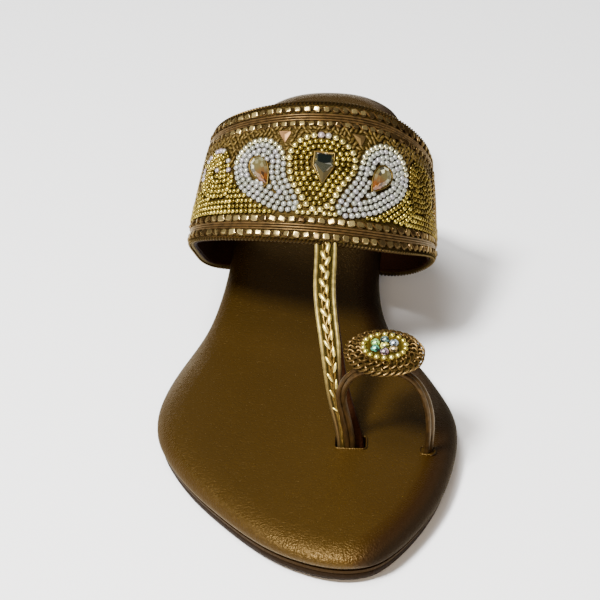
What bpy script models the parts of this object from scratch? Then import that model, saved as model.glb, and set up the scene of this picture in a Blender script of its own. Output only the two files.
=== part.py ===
"""Women's wedge sandal with a beaded instep band, a T-strap and a toe loop: right foot, EU 37.

Shapes are worked out in shoe millimetres: u runs from the back of the heel towards the toe, v runs
across the foot with the big-toe side positive, and z is up from the floor. world() turns them into
the model's frame, in metres: +X to the big-toe side, the toe towards -Y, +Z up, and the origin on
the floor under the middle of the sole's length.
"""

import math

import bmesh
import bpy
import numpy as np
from mathutils import Vector

MM = 0.001
MERGE = 0.000001
GAP = 0.3
THROUGH = 2.0

# The sole: lengths, heights and thicknesses
SOLE_LENGTH = 248.5
TOE_TIP_V = 14.5
HEEL_TOP = 31.5
BALL_TOP = 10.5
SLOPE_TOP_U = 47.0
SLOPE_FOOT_U = 153.0
SPRING_START_U = 186.0
TOE_SPRING = 1.5
OUTSOLE_THICK = 2.5
FOOTBED_THICK = 6.3
FOOTBED_CROWN = 0.6
CROWN_FULL_WIDTH = 36.0
SEAM_INSET = 0.8
BACK_RAKE = 0.18
SIDE_RAKE = 0.29
SOLE_STATIONS = 42
END_CROWDING = 0.6

# Half outline of the footbed: distance from the heel, outer (little-toe) and inner edges
OUTLINE = (
    # u, lateral v, medial v
    (2.0, -11.0, 11.0),
    (7.0, -18.5, 18.0),
    (15.0, -24.0, 23.5),
    (30.0, -27.0, 25.5),
    (50.0, -27.5, 24.0),
    (70.0, -27.5, 22.0),
    (90.0, -28.5, 20.5),
    (107.0, -29.5, 20.0),
    (122.0, -31.5, 21.5),
    (135.0, -34.5, 26.0),
    (148.0, -39.0, 34.0),
    (160.0, -42.5, 39.5),
    (175.0, -45.0, 44.5),
    (191.0, -43.5, 45.0),
    (202.0, -39.0, 43.5),
    (213.0, -32.5, 41.0),
    (224.0, -24.0, 37.0),
    (234.0, -15.0, 32.0),
    (241.0, -7.0, 27.5),
    (246.0, 2.0, 22.5),
)

# Rolled edge of the footbed, from its lower corner to the flat of its top
FOOTBED_EDGE = (
    # inset from the outline, drop below the top
    (1.4, 6.3),
    (0.4, 5.6),
    (0.0, 4.6),
    (0.25, 3.5),
    (1.1, 2.5),
    (2.8, 1.5),
    (5.2, 0.7),
    (8.0, 0.2),
)

# The band's two edges, from its lateral end in the sole over the instep to its medial end
BAND = (
    # back u, v, z, front u, v, z
    (60.0, -23.0, 23.1, 101.0, -24.5, 13.2),
    (61.5, -27.5, 23.6, 102.5, -29.8, 14.2),
    (83.0, -32.6, 41.0, 118.5, -38.9, 29.2),
    (102.5, -33.0, 64.5, 137.0, -36.8, 45.0),
    (116.5, -17.0, 80.0, 149.5, -17.5, 53.2),
    (119.0, 2.0, 83.5, 153.0, 5.5, 54.2),
    (114.0, 20.5, 77.8, 146.0, 25.0, 48.0),
    (103.5, 34.2, 60.5, 129.0, 35.7, 37.0),
    (85.0, 33.2, 39.0, 113.0, 36.0, 23.8),
    (64.0, 24.0, 23.8, 103.0, 22.5, 13.8),
    (61.0, 19.5, 23.1, 101.0, 17.0, 13.2),
)
BAND_WALL = 2.2
BAND_BULGE = 1.0
FOLD_SHARE = 0.25
BAND_STATIONS = 56
BAND_COLUMNS = 7
POCKET_STATIONS = 13
POCKET_BEYOND = 0.003

# The T-strap's middle line, from inside the band's front edge down to the slot
T_STRAP = (
    # u, v, z, width
    (148.0, 4.4, 56.6, 8.0),
    (152.3, 4.4, 53.2, 6.8),
    (166.0, 4.7, 45.3, 6.6),
    (179.5, 7.3, 34.0, 6.4),
    (187.5, 10.4, 20.5, 6.8),
    (192.6, 13.2, 12.5, 7.4),
    (194.3, 13.9, 8.0, 7.8),
    (194.4, 13.9, 4.6, 7.8),
)
T_STRAP_THICK = 2.0
T_STRAP_STATIONS = 20

# The toe loop's middle line, from the post slot over the big toe to the medial slot
TOE_LOOP = (
    # u, v, z
    (196.6, 13.7, 4.6),
    (196.6, 13.7, 10.5),
    (196.2, 11.8, 22.0),
    (196.4, 11.0, 30.0),
    (197.0, 15.0, 36.9),
    (197.6, 22.7, 38.9),
    (198.3, 30.4, 37.0),
    (198.8, 35.0, 30.5),
    (198.7, 36.8, 21.5),
    (197.2, 36.6, 10.5),
    (197.0, 36.5, 4.6),
)
CORD_RADIUS = 0.85
CORD_SPACING = 0.75
MEDIAL_TURN = 50.0
LOBE_ANGLES = (-145.0, -87.0, -29.0, 29.0, 87.0, 145.0)
TOE_LOOP_STATIONS = 34

# Slots in the footbed
SLOTS = {
    # name: middle u, middle v, length along u, length along v
    "post_slot": (194.8, 13.8, 6.4, 9.2),
    "medial_slot": (197.1, 36.4, 3.8, 4.2),
}
SLOT_CORNER = 1.2

# The ornament on the toe loop
ORNAMENT_U = 192.0
ORNAMENT_V = 23.0
ORNAMENT_UNDER = 40.1
ORNAMENT_PROFILE = (
    # radius, height above its underside
    (0.0, 2.6),
    (6.6, 2.5),
    (9.2, 1.9),
    (11.2, 1.1),
    (11.6, 0.5),
    (11.2, 0.0),
    (0.0, 0.0),
)
ORNAMENT_SIDES = 32

# Round stones on the ornament: one in the middle and a ring about it
STONE_RADIUS = 1.4
STONE_TABLE = 0.8
STONE_HEIGHT = 1.3
STONE_RING = 3.1
STONE_COUNT = 6
STONE_SIDES = 12

# Crystals set on the band: places along its middle line from halfway, and across it
BAND_CRYSTALS = {
    # name: offset along, share across, turn in degrees
    "kite_crystal": (2.4, 0.465, 3.0),
    "lateral_crystal": (-17.1, 0.505, -32.0),
    "medial_crystal": (20.3, 0.52, 37.0),
}
KITE_OUTLINE = (
    # along, across
    (-2.9, -4.1),
    (2.9, -4.1),
    (3.0, 0.3),
    (0.0, 6.0),
    (-3.0, 0.3),
)
DROP_LENGTH = 10.2
DROP_WIDTH = 5.6
DROP_POINTS = 16
CRYSTAL_FACETS = (
    # height above its back, share of the outline
    (0.0, 0.92),
    (0.7, 1.0),
    (2.0, 0.55),
)


def world(u, v, z):
    """A place on the shoe, in millimetres, as a point of the model."""
    return Vector((v * MM, (SOLE_LENGTH / 2 - u) * MM, z * MM))


def smoothstep(t):
    t = np.clip(t, 0.0, 1.0)
    return t * t * (3.0 - 2.0 * t)


def toe_lift(u):
    along = np.clip((u - SPRING_START_U) / (SOLE_LENGTH - SPRING_START_U), 0.0, None)
    return TOE_SPRING * along**2


def top_height(u):
    """Height of the footbed's top."""
    slope = smoothstep((SLOPE_FOOT_U - u) / (SLOPE_FOOT_U - SLOPE_TOP_U))
    return BALL_TOP + (HEEL_TOP - BALL_TOP) * slope + toe_lift(u)


def seam_height(u):
    """Height of the wedge's top, just under the footbed."""
    return top_height(u) - FOOTBED_THICK - GAP


def spline(points, fractions, closed=False):
    """Points on the smooth cubic through the given ones, at fractions of its chord length."""
    knots = np.array(points, float)
    if closed:
        knots = np.vstack([knots, knots[:1]])
    steps = np.linalg.norm(np.diff(knots, axis=0), axis=1)
    count = len(knots)
    rows = np.zeros((count, count))
    sides = np.zeros_like(knots)
    for k in range(1, count - 1):
        rows[k, k - 1 : k + 2] = (
            1 / steps[k - 1],
            2 / steps[k - 1] + 2 / steps[k],
            1 / steps[k],
        )
        sides[k] = 3 * (knots[k] - knots[k - 1]) / steps[k - 1] ** 2
        sides[k] += 3 * (knots[k + 1] - knots[k]) / steps[k] ** 2
    if closed:
        rows[0, [0, 1]] = 2 / steps[0] + 2 / steps[-1], 1 / steps[0]
        rows[0, -2] = 1 / steps[-1]
        sides[0] = 3 * (knots[1] - knots[0]) / steps[0] ** 2
        sides[0] += 3 * (knots[-1] - knots[-2]) / steps[-1] ** 2
        rows[-1, [0, -1]] = 1, -1
    else:
        rows[0, :2] = 2, 1
        sides[0] = 3 * (knots[1] - knots[0]) / steps[0]
        rows[-1, -2:] = 1, 2
        sides[-1] = 3 * (knots[-1] - knots[-2]) / steps[-1]
    slopes = np.linalg.solve(rows, sides)
    places = np.concatenate([[0.0], np.cumsum(steps)])
    wanted = np.asarray(fractions, float) * places[-1]
    part = np.clip(np.searchsorted(places, wanted, side="right") - 1, 0, count - 2)
    t = ((wanted - places[part]) / steps[part])[:, None]
    step = steps[part][:, None]
    return (
        knots[part] * (2 * t**3 - 3 * t**2 + 1)
        + knots[part + 1] * (3 * t**2 - 2 * t**3)
        + slopes[part] * step * (t**3 - 2 * t**2 + t)
        + slopes[part + 1] * step * (t**3 - t**2)
    )


def outline_stations():
    """Outline points and inward normals of the lateral and the medial side, from heel to toe."""
    lateral = [(u, lateral_v) for u, lateral_v, _ in OUTLINE]
    medial = [(u, medial_v) for u, _, medial_v in reversed(OUTLINE)]
    loop = [(0.0, 0.0), *lateral, (SOLE_LENGTH, TOE_TIP_V), *medial]
    steps = np.linalg.norm(np.diff(np.array([*loop, loop[0]]), axis=0), axis=1)
    toe = steps[: len(lateral) + 1].sum() / steps.sum()
    even = np.linspace(0.0, 1.0, SOLE_STATIONS + 1)
    along = even - END_CROWDING * np.sin(2 * math.pi * even) / (2 * math.pi)
    sides = []
    for fractions in (toe * along, 1.0 - (1.0 - toe) * along):
        points = spline(loop, fractions, closed=True)
        reach = 0.001
        ahead = spline(loop, (fractions + reach) % 1.0, closed=True)
        behind = spline(loop, (fractions - reach) % 1.0, closed=True)
        run = ahead - behind
        normals = np.column_stack([-run[:, 1], run[:, 0]])
        normals /= np.linalg.norm(normals, axis=1)[:, None]
        sides.append((points, normals))
    return sides


def raked_inset(u, normals, z):
    """How far the sole is tucked in at a height: its sides lean more than its back."""
    rake = BACK_RAKE * normals[:, 0] ** 2 + SIDE_RAKE * normals[:, 1] ** 2
    return SEAM_INSET + rake * np.clip(seam_height(u) - z, 0.0, None)


def sole_ring(height):
    """A ring of the wedge or outsole: the outline tucked in at a height given by u."""

    def ring(points, normals):
        u = points[:, 0]
        inset = raked_inset(u, normals, height(u))
        tucked = points + normals * inset[:, None]
        return np.column_stack([tucked, height(tucked[:, 0])])

    return ring


def footbed_ring(inset, drop):
    """A ring of the footbed's rolled edge."""

    def ring(points, normals):
        tucked = points + normals * inset
        return np.column_stack([tucked, top_height(tucked[:, 0]) - drop])

    return ring


def new_object(name, shape, collection, material=None):
    """An object from a finished bmesh, which is freed."""
    mesh = bpy.data.meshes.new(name)
    shape.to_mesh(mesh)
    shape.free()
    piece = bpy.data.objects.new(name, mesh)
    if material:
        mesh.materials.append(material)
    mesh.shade_smooth()
    mesh.set_sharp_from_angle(angle=math.radians(40))
    collection.objects.link(piece)
    return piece


def loft(name, sections, collection, material=None, capped=True):
    """A closed body through closed sections that have the same number of points."""
    shape = bmesh.new()
    rows = [[shape.verts.new(world(*point)) for point in section] for section in sections]
    for lower, upper in zip(rows, rows[1:]):
        for k in range(len(lower)):
            following = (k + 1) % len(lower)
            shape.faces.new((lower[k], lower[following], upper[following], upper[k]))
    if capped:
        shape.faces.new(rows[0])
        shape.faces.new(rows[-1])
    bmesh.ops.remove_doubles(shape, verts=shape.verts, dist=MERGE)
    bmesh.ops.dissolve_degenerate(shape, edges=shape.edges, dist=MERGE)
    bmesh.ops.recalc_face_normals(shape, faces=shape.faces)
    return new_object(name, shape, collection, material)


def across(start, end, height, crown, columns):
    """Points between two edges of a layer, at a height given by u and crowned where it is wide."""
    crown *= min(1.0, np.linalg.norm(end[:2] - start[:2]) / CROWN_FULL_WIDTH) ** 2
    points = []
    for k in range(1, columns):
        s = k / columns
        u, v = start[:2] * (1 - s) + end[:2] * s
        points.append((u, v, height(u) + crown * 4 * s * (1 - s)))
    return points


def sole_layer(name, rings, floor, roof, collection, material, crown=0.0, columns=6):
    """A layer of the sole: rings from its lower to its upper edge, closed under and over."""
    (lateral_points, lateral_normals), (medial_points, medial_normals) = outline_stations()
    lateral = [ring(lateral_points, lateral_normals) for ring in rings]
    medial = [ring(medial_points, medial_normals) for ring in rings]
    sections = []
    for k in range(SOLE_STATIONS + 1):
        up = [ring[k] for ring in lateral]
        down = [ring[k] for ring in reversed(medial)]
        over = across(up[-1], down[0], roof, crown, columns)
        under = across(down[-1], up[0], floor, 0.0, columns)
        sections.append([*up, *over, *down, *under])
    return loft(name, sections, collection, material, capped=False)


def outsole(collection, material):
    def upper_side(u):
        return toe_lift(u) + OUTSOLE_THICK

    rings = [sole_ring(toe_lift), sole_ring(upper_side)]
    return sole_layer("outsole", rings, toe_lift, upper_side, collection, material, columns=4)


def wedge(collection, material):
    def under_side(u):
        return toe_lift(u) + OUTSOLE_THICK + GAP

    def part_way(share):
        return lambda u: under_side(u) + share * (seam_height(u) - under_side(u))

    rings = [sole_ring(part_way(share)) for share in (0.0, 0.5, 1.0)]
    return sole_layer("wedge", rings, under_side, seam_height, collection, material, columns=4)


def footbed(collection, material):
    def under_side(u):
        return top_height(u) - FOOTBED_THICK

    def flat_of_top(u):
        return top_height(u) - FOOTBED_EDGE[-1][1]

    rings = [footbed_ring(inset, drop) for inset, drop in FOOTBED_EDGE]
    return sole_layer(
        "footbed", rings, under_side, flat_of_top, collection, material, FOOTBED_CROWN, columns=8
    )


def unit(vectors):
    return vectors / np.linalg.norm(vectors, axis=-1)[..., None]


def band_grid(along, widths):
    """Outer surface of the band and its outward normals, at shares along and across it."""
    edges = np.array(BAND)
    reach = 0.002

    def ruled(shares):
        paths = spline(edges, shares)
        back, front = paths[:, None, :3], paths[:, None, 3:]
        share = np.asarray(widths)[None, :, None]
        return back + (front - back) * share, front - back

    surface, rulings = ruled(along)
    run = ruled(along + reach)[0] - ruled(along - reach)[0]
    normals = unit(np.cross(rulings, run))
    swell = np.sin(math.pi * along)[:, None] * 4 * np.multiply(widths, 1 - np.asarray(widths))
    return surface + normals * (BAND_BULGE * swell)[..., None], normals


def band_sections(along, slack=0.0):
    """Closed sections of the band's wall, thicker and wider by the slack all round."""
    edge_to_edge = np.linspace(0.0, 1.0, BAND_COLUMNS + 1)
    surface, normals = band_grid(along, edge_to_edge)
    wide = unit(surface[:, -1] - surface[:, 0])
    surface[:, 0] -= wide * slack
    surface[:, -1] += wide * slack
    outer = surface + normals * slack
    inner = surface - normals * (BAND_WALL + slack)
    fold = BAND_WALL * FOLD_SHARE
    middle = surface - normals * BAND_WALL / 2
    sections = []
    for k in range(len(along)):
        front_fold = middle[k, -1] + wide[k] * fold
        back_fold = middle[k, 0] - wide[k] * fold
        sections.append([*outer[k], front_fold, *inner[k][::-1], back_fold])
    return sections


def band_frame(offset, share):
    """A place on the band's outer surface with its along, across and outward directions."""
    shares = np.linspace(0.0, 1.0, 401)
    middle = band_grid(shares, [0.5])[0][:, 0]
    lengths = np.concatenate([[0.0], np.cumsum(np.linalg.norm(np.diff(middle, axis=0), axis=1))])
    along = np.interp(np.interp(0.5, shares, lengths) + offset, lengths, shares)
    reach = 0.001
    near = np.array([along - reach, along, along + reach])
    surface, normals = band_grid(near, [share - reach, share, share + reach])
    outward = normals[1, 1]
    run = unit(surface[2, 1] - surface[0, 1])
    return surface[1, 1], run, np.cross(run, outward), outward


def strap_sections():
    """Sections of the T-strap: flat, with rounded edges, as wide as its table says."""
    fractions = np.linspace(0.0, 1.0, T_STRAP_STATIONS + 1)
    rows = spline(T_STRAP, fractions)
    line, widths = rows[:, :3], rows[:, 3]
    run = unit(np.gradient(line, axis=0))
    side = np.array([0.0, 1.0, 0.0]) - run * run[:, 1:2]
    side = unit(side)
    facing = np.cross(run, side)
    sections = []
    for k in range(len(line)):
        half = widths[k] / 2
        flat = half - T_STRAP_THICK / 2
        corners = []
        for centre, first in ((flat, -90.0), (-flat, 90.0)):
            for turn in (0.0, 45.0, 90.0, 135.0, 180.0):
                angle = math.radians(first + turn)
                offset = centre + T_STRAP_THICK / 2 * math.cos(angle)
                rise = T_STRAP_THICK / 2 * math.sin(angle)
                corners.append(line[k] + side[k] * offset + facing[k] * rise)
        sections.append(corners)
    return sections


def upper(collection, guides, material):
    """The instep band and the T-strap, as one body."""
    along = np.linspace(0.0, 1.0, BAND_STATIONS + 1)
    band = loft("upper", band_sections(along), collection, material)
    strap = loft("t_strap", strap_sections(), guides)
    join(band, strap, "UNION")
    return band


def toe_loop(collection, material):
    """Two cords rolled side by side: one in front of the other's arc, flat under the ornament."""
    fractions = np.linspace(0.0, 1.0, TOE_LOOP_STATIONS + 1)
    line = spline(TOE_LOOP, fractions)
    run = unit(np.gradient(line, axis=0))
    forward = np.array([1.0, 0.0, 0.0]) - run * run[:, :1]
    forward = unit(forward)
    in_plane = np.cross(run, forward)
    end_turn = np.where(fractions > 0.5, math.radians(MEDIAL_TURN), 0.0)
    turn = end_turn + (math.pi / 2 - end_turn) * np.sin(math.pi * fractions) ** 6
    side = in_plane * np.cos(turn)[:, None] + forward * np.sin(turn)[:, None]
    facing = np.cross(run, side)
    sections = []
    for k in range(len(line)):
        points = []
        for lobe in (1, -1):
            for degrees in LOBE_ANGLES:
                angle = math.radians(degrees)
                offset = lobe * (CORD_SPACING + CORD_RADIUS * math.cos(angle))
                rise = lobe * CORD_RADIUS * math.sin(angle)
                points.append(line[k] + side[k] * offset + facing[k] * rise)
        sections.append(points)
    return loft("toe_loop", sections, collection, material)


def ornament(collection, material):
    """A low dome turned about its upright axis."""
    shape = bmesh.new()
    points = [shape.verts.new((radius * MM, 0.0, z * MM)) for radius, z in ORNAMENT_PROFILE]
    for first, second in zip(points, points[1:]):
        shape.edges.new((first, second))
    piece = new_object("ornament", shape, collection, material)
    piece.location = world(ORNAMENT_U, ORNAMENT_V, ORNAMENT_UNDER)
    turning = piece.modifiers.new("turned", "SCREW")
    turning.steps = ORNAMENT_SIDES
    turning.render_steps = ORNAMENT_SIDES
    turning.use_merge_vertices = True
    turning.merge_threshold = MERGE
    return piece


def drop_outline():
    """A drop with its point towards the toe."""
    points = []
    for k in range(DROP_POINTS):
        angle = 2 * math.pi * k / DROP_POINTS
        belly = 1.3 * math.sin(angle) * math.sin(angle / 2)
        points.append((DROP_WIDTH / 2 * belly, DROP_LENGTH / 2 * math.cos(angle)))
    return points


def band_crystal(name, outline, collection, material):
    """A faceted crystal lying on the band."""
    offset, share, turn = BAND_CRYSTALS[name]
    place, run, down, outward = band_frame(offset, share)
    cos_turn, sin_turn = math.cos(math.radians(turn)), math.sin(math.radians(turn))
    sections = []
    for height, scale in CRYSTAL_FACETS:
        points = []
        for x, y in outline:
            along = scale * (x * cos_turn - y * sin_turn)
            across_band = scale * (x * sin_turn + y * cos_turn)
            points.append(place + run * along + down * across_band + outward * (GAP + height))
        sections.append(points)
    return loft(name, sections, collection, material)


def stones(collection, material):
    """The round stones: the middle one and a ring of equal ones."""
    seat = ORNAMENT_UNDER + ORNAMENT_PROFILE[0][1] + GAP
    places = [(0.0, 0.0)]
    for k in range(STONE_COUNT):
        angle = 2 * math.pi * k / STONE_COUNT
        places.append((STONE_RING * math.cos(angle), STONE_RING * math.sin(angle)))
    for number, (along, side) in enumerate(places):
        shape = bmesh.new()
        bmesh.ops.create_cone(
            shape,
            cap_ends=True,
            segments=STONE_SIDES,
            radius1=STONE_RADIUS * MM,
            radius2=STONE_TABLE * MM,
            depth=STONE_HEIGHT * MM,
        )
        stone = new_object(f"stone_{number}", shape, collection, material)
        middle = seat + STONE_HEIGHT / 2
        stone.location = world(ORNAMENT_U + along, ORNAMENT_V + side, middle)


def slot_cutter(name, guides):
    """A slot with round corners, right through the footbed."""
    middle_u, middle_v, length, width = SLOTS[name]
    top = top_height(middle_u) + THROUGH
    bottom = top_height(middle_u) - FOOTBED_THICK - THROUGH
    corners = []
    for quarter, (along, side) in enumerate(((1, 1), (-1, 1), (-1, -1), (1, -1))):
        for turn in (0.0, 30.0, 60.0, 90.0):
            angle = math.radians(90.0 * quarter + turn)
            u = middle_u + along * (length / 2 - SLOT_CORNER) + SLOT_CORNER * math.cos(angle)
            v = middle_v + side * (width / 2 - SLOT_CORNER) + SLOT_CORNER * math.sin(angle)
            corners.append((u, v))
    return loft(name, [[(*corner, z) for corner in corners] for z in (bottom, top)], guides)


def pocket_cutters(guides):
    """Room for the band's two ends between footbed and wedge."""
    lateral = np.arange(POCKET_STATIONS) / BAND_STATIONS
    lateral[0] = -POCKET_BEYOND
    medial = 1.0 - lateral[::-1]
    return [
        loft("lateral_pocket", band_sections(lateral, GAP), guides),
        loft("medial_pocket", band_sections(medial, GAP), guides),
    ]


def join(piece, other, operation):
    change = piece.modifiers.new(f"{operation.lower()}_{other.name}", "BOOLEAN")
    change.operation = operation
    change.solver = "EXACT"
    change.object = other


def principled(name, color, roughness, metallic):
    material = bpy.data.materials.new(name)
    material.use_nodes = True
    shader = material.node_tree.nodes["Principled BSDF"]
    shader.inputs["Base Color"].default_value = (*color, 1.0)
    shader.inputs["Roughness"].default_value = roughness
    shader.inputs["Metallic"].default_value = metallic
    return material


def new_collection(name):
    collection = bpy.data.collections.new(name)
    bpy.context.scene.collection.children.link(collection)
    return collection


def main():
    for old in list(bpy.data.objects):
        bpy.data.objects.remove(old, do_unlink=True)
    sandal = new_collection("toe_loop_sandal")
    guides = new_collection("guides")
    bronze = principled("bronze_leather", (0.10, 0.055, 0.012), 0.42, 0.55)
    wrapped = principled("wrapped_wedge", (0.09, 0.05, 0.015), 0.5, 0.4)
    rubber = principled("dark_rubber", (0.02, 0.012, 0.008), 0.7, 0.0)
    beaded = principled("beaded_band", (0.35, 0.24, 0.08), 0.35, 0.8)
    rolled = principled("rolled_cord", (0.16, 0.08, 0.03), 0.45, 0.4)
    gold = principled("ornament_gold", (0.3, 0.18, 0.05), 0.35, 0.8)
    iridescent = principled("iridescent_stone", (0.5, 0.6, 0.5), 0.05, 0.0)
    smoky = principled("smoky_crystal", (0.06, 0.07, 0.05), 0.05, 0.0)
    amber = principled("amber_crystal", (0.5, 0.25, 0.08), 0.05, 0.0)

    outsole(sandal, rubber)
    cut_wedge = wedge(sandal, wrapped)
    cut_footbed = footbed(sandal, bronze)
    upper(sandal, guides, beaded)
    toe_loop(sandal, rolled)
    ornament(sandal, gold)
    stones(sandal, iridescent)
    band_crystal("kite_crystal", KITE_OUTLINE, sandal, smoky)
    band_crystal("lateral_crystal", drop_outline(), sandal, amber)
    band_crystal("medial_crystal", drop_outline(), sandal, amber)
    for pocket in pocket_cutters(guides):
        join(cut_wedge, pocket, "DIFFERENCE")
        join(cut_footbed, pocket, "DIFFERENCE")
    for name in SLOTS:
        join(cut_footbed, slot_cutter(name, guides), "DIFFERENCE")
    for guide in guides.objects:
        guide.hide_render = True
        guide.display_type = "WIRE"


main()
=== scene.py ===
"""Looks of a women's wedge toe-loop sandal, right foot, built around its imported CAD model.

Shapes are worked out in shoe millimetres, as in the CAD source: u runs from the back of the heel
towards the toe, v across the foot with the big-toe side positive, and z up from the floor. placed()
turns them into the frame's metres: +X to the big-toe side, toe towards -Y, +Z up.

The band has a chart of its own: s is measured along its middle line from halfway, positive towards
the big-toe side, and w is the share across it, 0 at its back edge and 1 at its front edge.
"""

import math

import bmesh
import bpy
import numpy as np
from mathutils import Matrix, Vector


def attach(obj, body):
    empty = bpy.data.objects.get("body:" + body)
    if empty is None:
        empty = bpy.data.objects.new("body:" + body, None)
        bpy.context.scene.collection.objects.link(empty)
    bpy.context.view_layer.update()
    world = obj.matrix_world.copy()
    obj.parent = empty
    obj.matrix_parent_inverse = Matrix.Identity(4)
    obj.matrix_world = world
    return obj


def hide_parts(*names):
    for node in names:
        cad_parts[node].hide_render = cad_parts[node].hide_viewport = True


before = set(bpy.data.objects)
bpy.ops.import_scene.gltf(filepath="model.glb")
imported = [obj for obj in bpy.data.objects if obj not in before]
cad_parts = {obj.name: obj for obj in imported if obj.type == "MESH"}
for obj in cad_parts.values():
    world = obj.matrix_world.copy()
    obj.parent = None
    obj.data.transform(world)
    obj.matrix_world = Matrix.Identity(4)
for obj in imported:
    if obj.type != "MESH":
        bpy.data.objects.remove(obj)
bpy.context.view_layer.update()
RANDOM = np.random.default_rng(37)
MM = 0.001
PI = math.pi
UP = (0.0, 0.0, 1.0)
WELD = 0.000002  # in metres: points that lie closer together become one

# Edges flatter than this many degrees are shaded round
BODY_SMOOTH = 50.0
BEAD_SMOOTH = 35.0
BAND_SMOOTH = 60.0

# Sole, as in the CAD source
SOLE_LENGTH = 248.5
TOE_TIP_V = 14.5
HEEL_TOP = 31.5
BALL_TOP = 10.5
SLOPE_TOP_U = 47.0
SLOPE_FOOT_U = 153.0
SPRING_START_U = 186.0
TOE_SPRING = 1.5
OUTSOLE_THICK = 2.5
FOOTBED_THICK = 6.3
FOOTBED_CROWN = 0.6
CROWN_FULL_WIDTH = 36.0
SEAM_GAP = 0.3
SEAM_INSET = 0.8
BACK_RAKE = 0.18
SIDE_RAKE = 0.29
OUTLINE = (
    # u, lateral v, medial v
    (2.0, -11.0, 11.0), (7.0, -18.5, 18.0), (15.0, -24.0, 23.5), (30.0, -27.0, 25.5),
    (50.0, -27.5, 24.0), (70.0, -27.5, 22.0), (90.0, -28.5, 20.5), (107.0, -29.5, 20.0),
    (122.0, -31.5, 21.5), (135.0, -34.5, 26.0), (148.0, -39.0, 34.0), (160.0, -42.5, 39.5),
    (175.0, -45.0, 44.5), (191.0, -43.5, 45.0), (202.0, -39.0, 43.5), (213.0, -32.5, 41.0),
    (224.0, -24.0, 37.0), (234.0, -15.0, 32.0), (241.0, -7.0, 27.5), (246.0, 2.0, 22.5),
)
FOOTBED_EDGE = (
    # inset from the outline, drop below the top
    (1.4, 6.3), (0.4, 5.6), (0.0, 4.6), (0.25, 3.5), (1.1, 2.5), (2.8, 1.5), (5.2, 0.7),
    (8.0, 0.2),
)

# Sections of the sole: finer than in the CAD source, and closest together at its ends
SOLE_STATIONS = 150
END_CROWDING = 0.72
OUTLINE_REACH = 0.001

# Band, as in the CAD source
BAND = (
    # back u, v, z, front u, v, z
    (60.0, -23.0, 23.1, 101.0, -24.5, 13.2),
    (61.5, -27.5, 23.6, 102.5, -29.8, 14.2),
    (83.0, -32.6, 41.0, 118.5, -38.9, 29.2),
    (102.5, -33.0, 64.5, 137.0, -36.8, 45.0),
    (116.5, -17.0, 80.0, 149.5, -17.5, 53.2),
    (119.0, 2.0, 83.5, 153.0, 5.5, 54.2),
    (114.0, 20.5, 77.8, 146.0, 25.0, 48.0),
    (103.5, 34.2, 60.5, 129.0, 35.7, 37.0),
    (85.0, 33.2, 39.0, 113.0, 36.0, 23.8),
    (64.0, 24.0, 23.8, 103.0, 22.5, 13.8),
    (61.0, 19.5, 23.1, 101.0, 17.0, 13.2),
)
BAND_WALL = 2.2
BAND_BULGE = 1.0

# The lining's part of the band's wall, and the width that shares across the band are taken of
LINING_THICK = 0.8
BAND_WIDTH = 44.7

# T-strap, as in the CAD source
T_STRAP = (
    # u, v, z, width
    (148.0, 4.4, 56.6, 8.0),
    (152.3, 4.4, 53.2, 6.8),
    (166.0, 4.7, 45.3, 6.6),
    (179.5, 7.3, 34.0, 6.4),
    (187.5, 10.4, 20.5, 6.8),
    (192.6, 13.2, 12.5, 7.4),
    (194.3, 13.9, 8.0, 7.8),
    (194.4, 13.9, 4.6, 7.8),
)
T_STRAP_THICK = 2.0

# Toe loop, as in the CAD source, but with each cord 0.03 mm further from its middle line
TOE_LOOP = (
    # u, v, z
    (196.6, 13.7, 4.6), (196.6, 13.7, 10.5), (196.2, 11.8, 22.0), (196.4, 11.0, 30.0),
    (197.0, 15.0, 36.9), (197.6, 22.7, 38.9), (198.3, 30.4, 37.0), (198.8, 35.0, 30.5),
    (198.7, 36.8, 21.5), (197.2, 36.6, 10.5), (197.0, 36.5, 4.6),
)
CORD_RADIUS = 0.85
CORD_SPACING = 0.78
MEDIAL_TURN = 50.0

# Ornament, as in the CAD source
ORNAMENT_U = 192.0
ORNAMENT_V = 23.0
ORNAMENT_UNDER = 40.1
STONE_RADIUS = 1.4
STONE_RING = 3.1
STONE_COUNT = 6
STONE_SEAT = 43.0


# ---------------------------------------------------------------- shapes in shoe millimetres


def placed(points):
    """Shoe millimetres as the frame's metres."""
    points = np.asarray(points, float)
    return np.stack([points[..., 1], SOLE_LENGTH / 2 - points[..., 0], points[..., 2]], -1) * MM


def unit(vectors):
    return vectors / np.maximum(np.linalg.norm(vectors, axis=-1, keepdims=True), 1e-12)


def turned(first, second, angle):
    """A direction turned from the first towards the second, by angles in radians."""
    angle = np.asarray(angle)[..., None]
    return first * np.cos(angle) + second * np.sin(angle)


def smoothstep(t):
    t = np.clip(t, 0.0, 1.0)
    return t * t * (3.0 - 2.0 * t)


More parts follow.
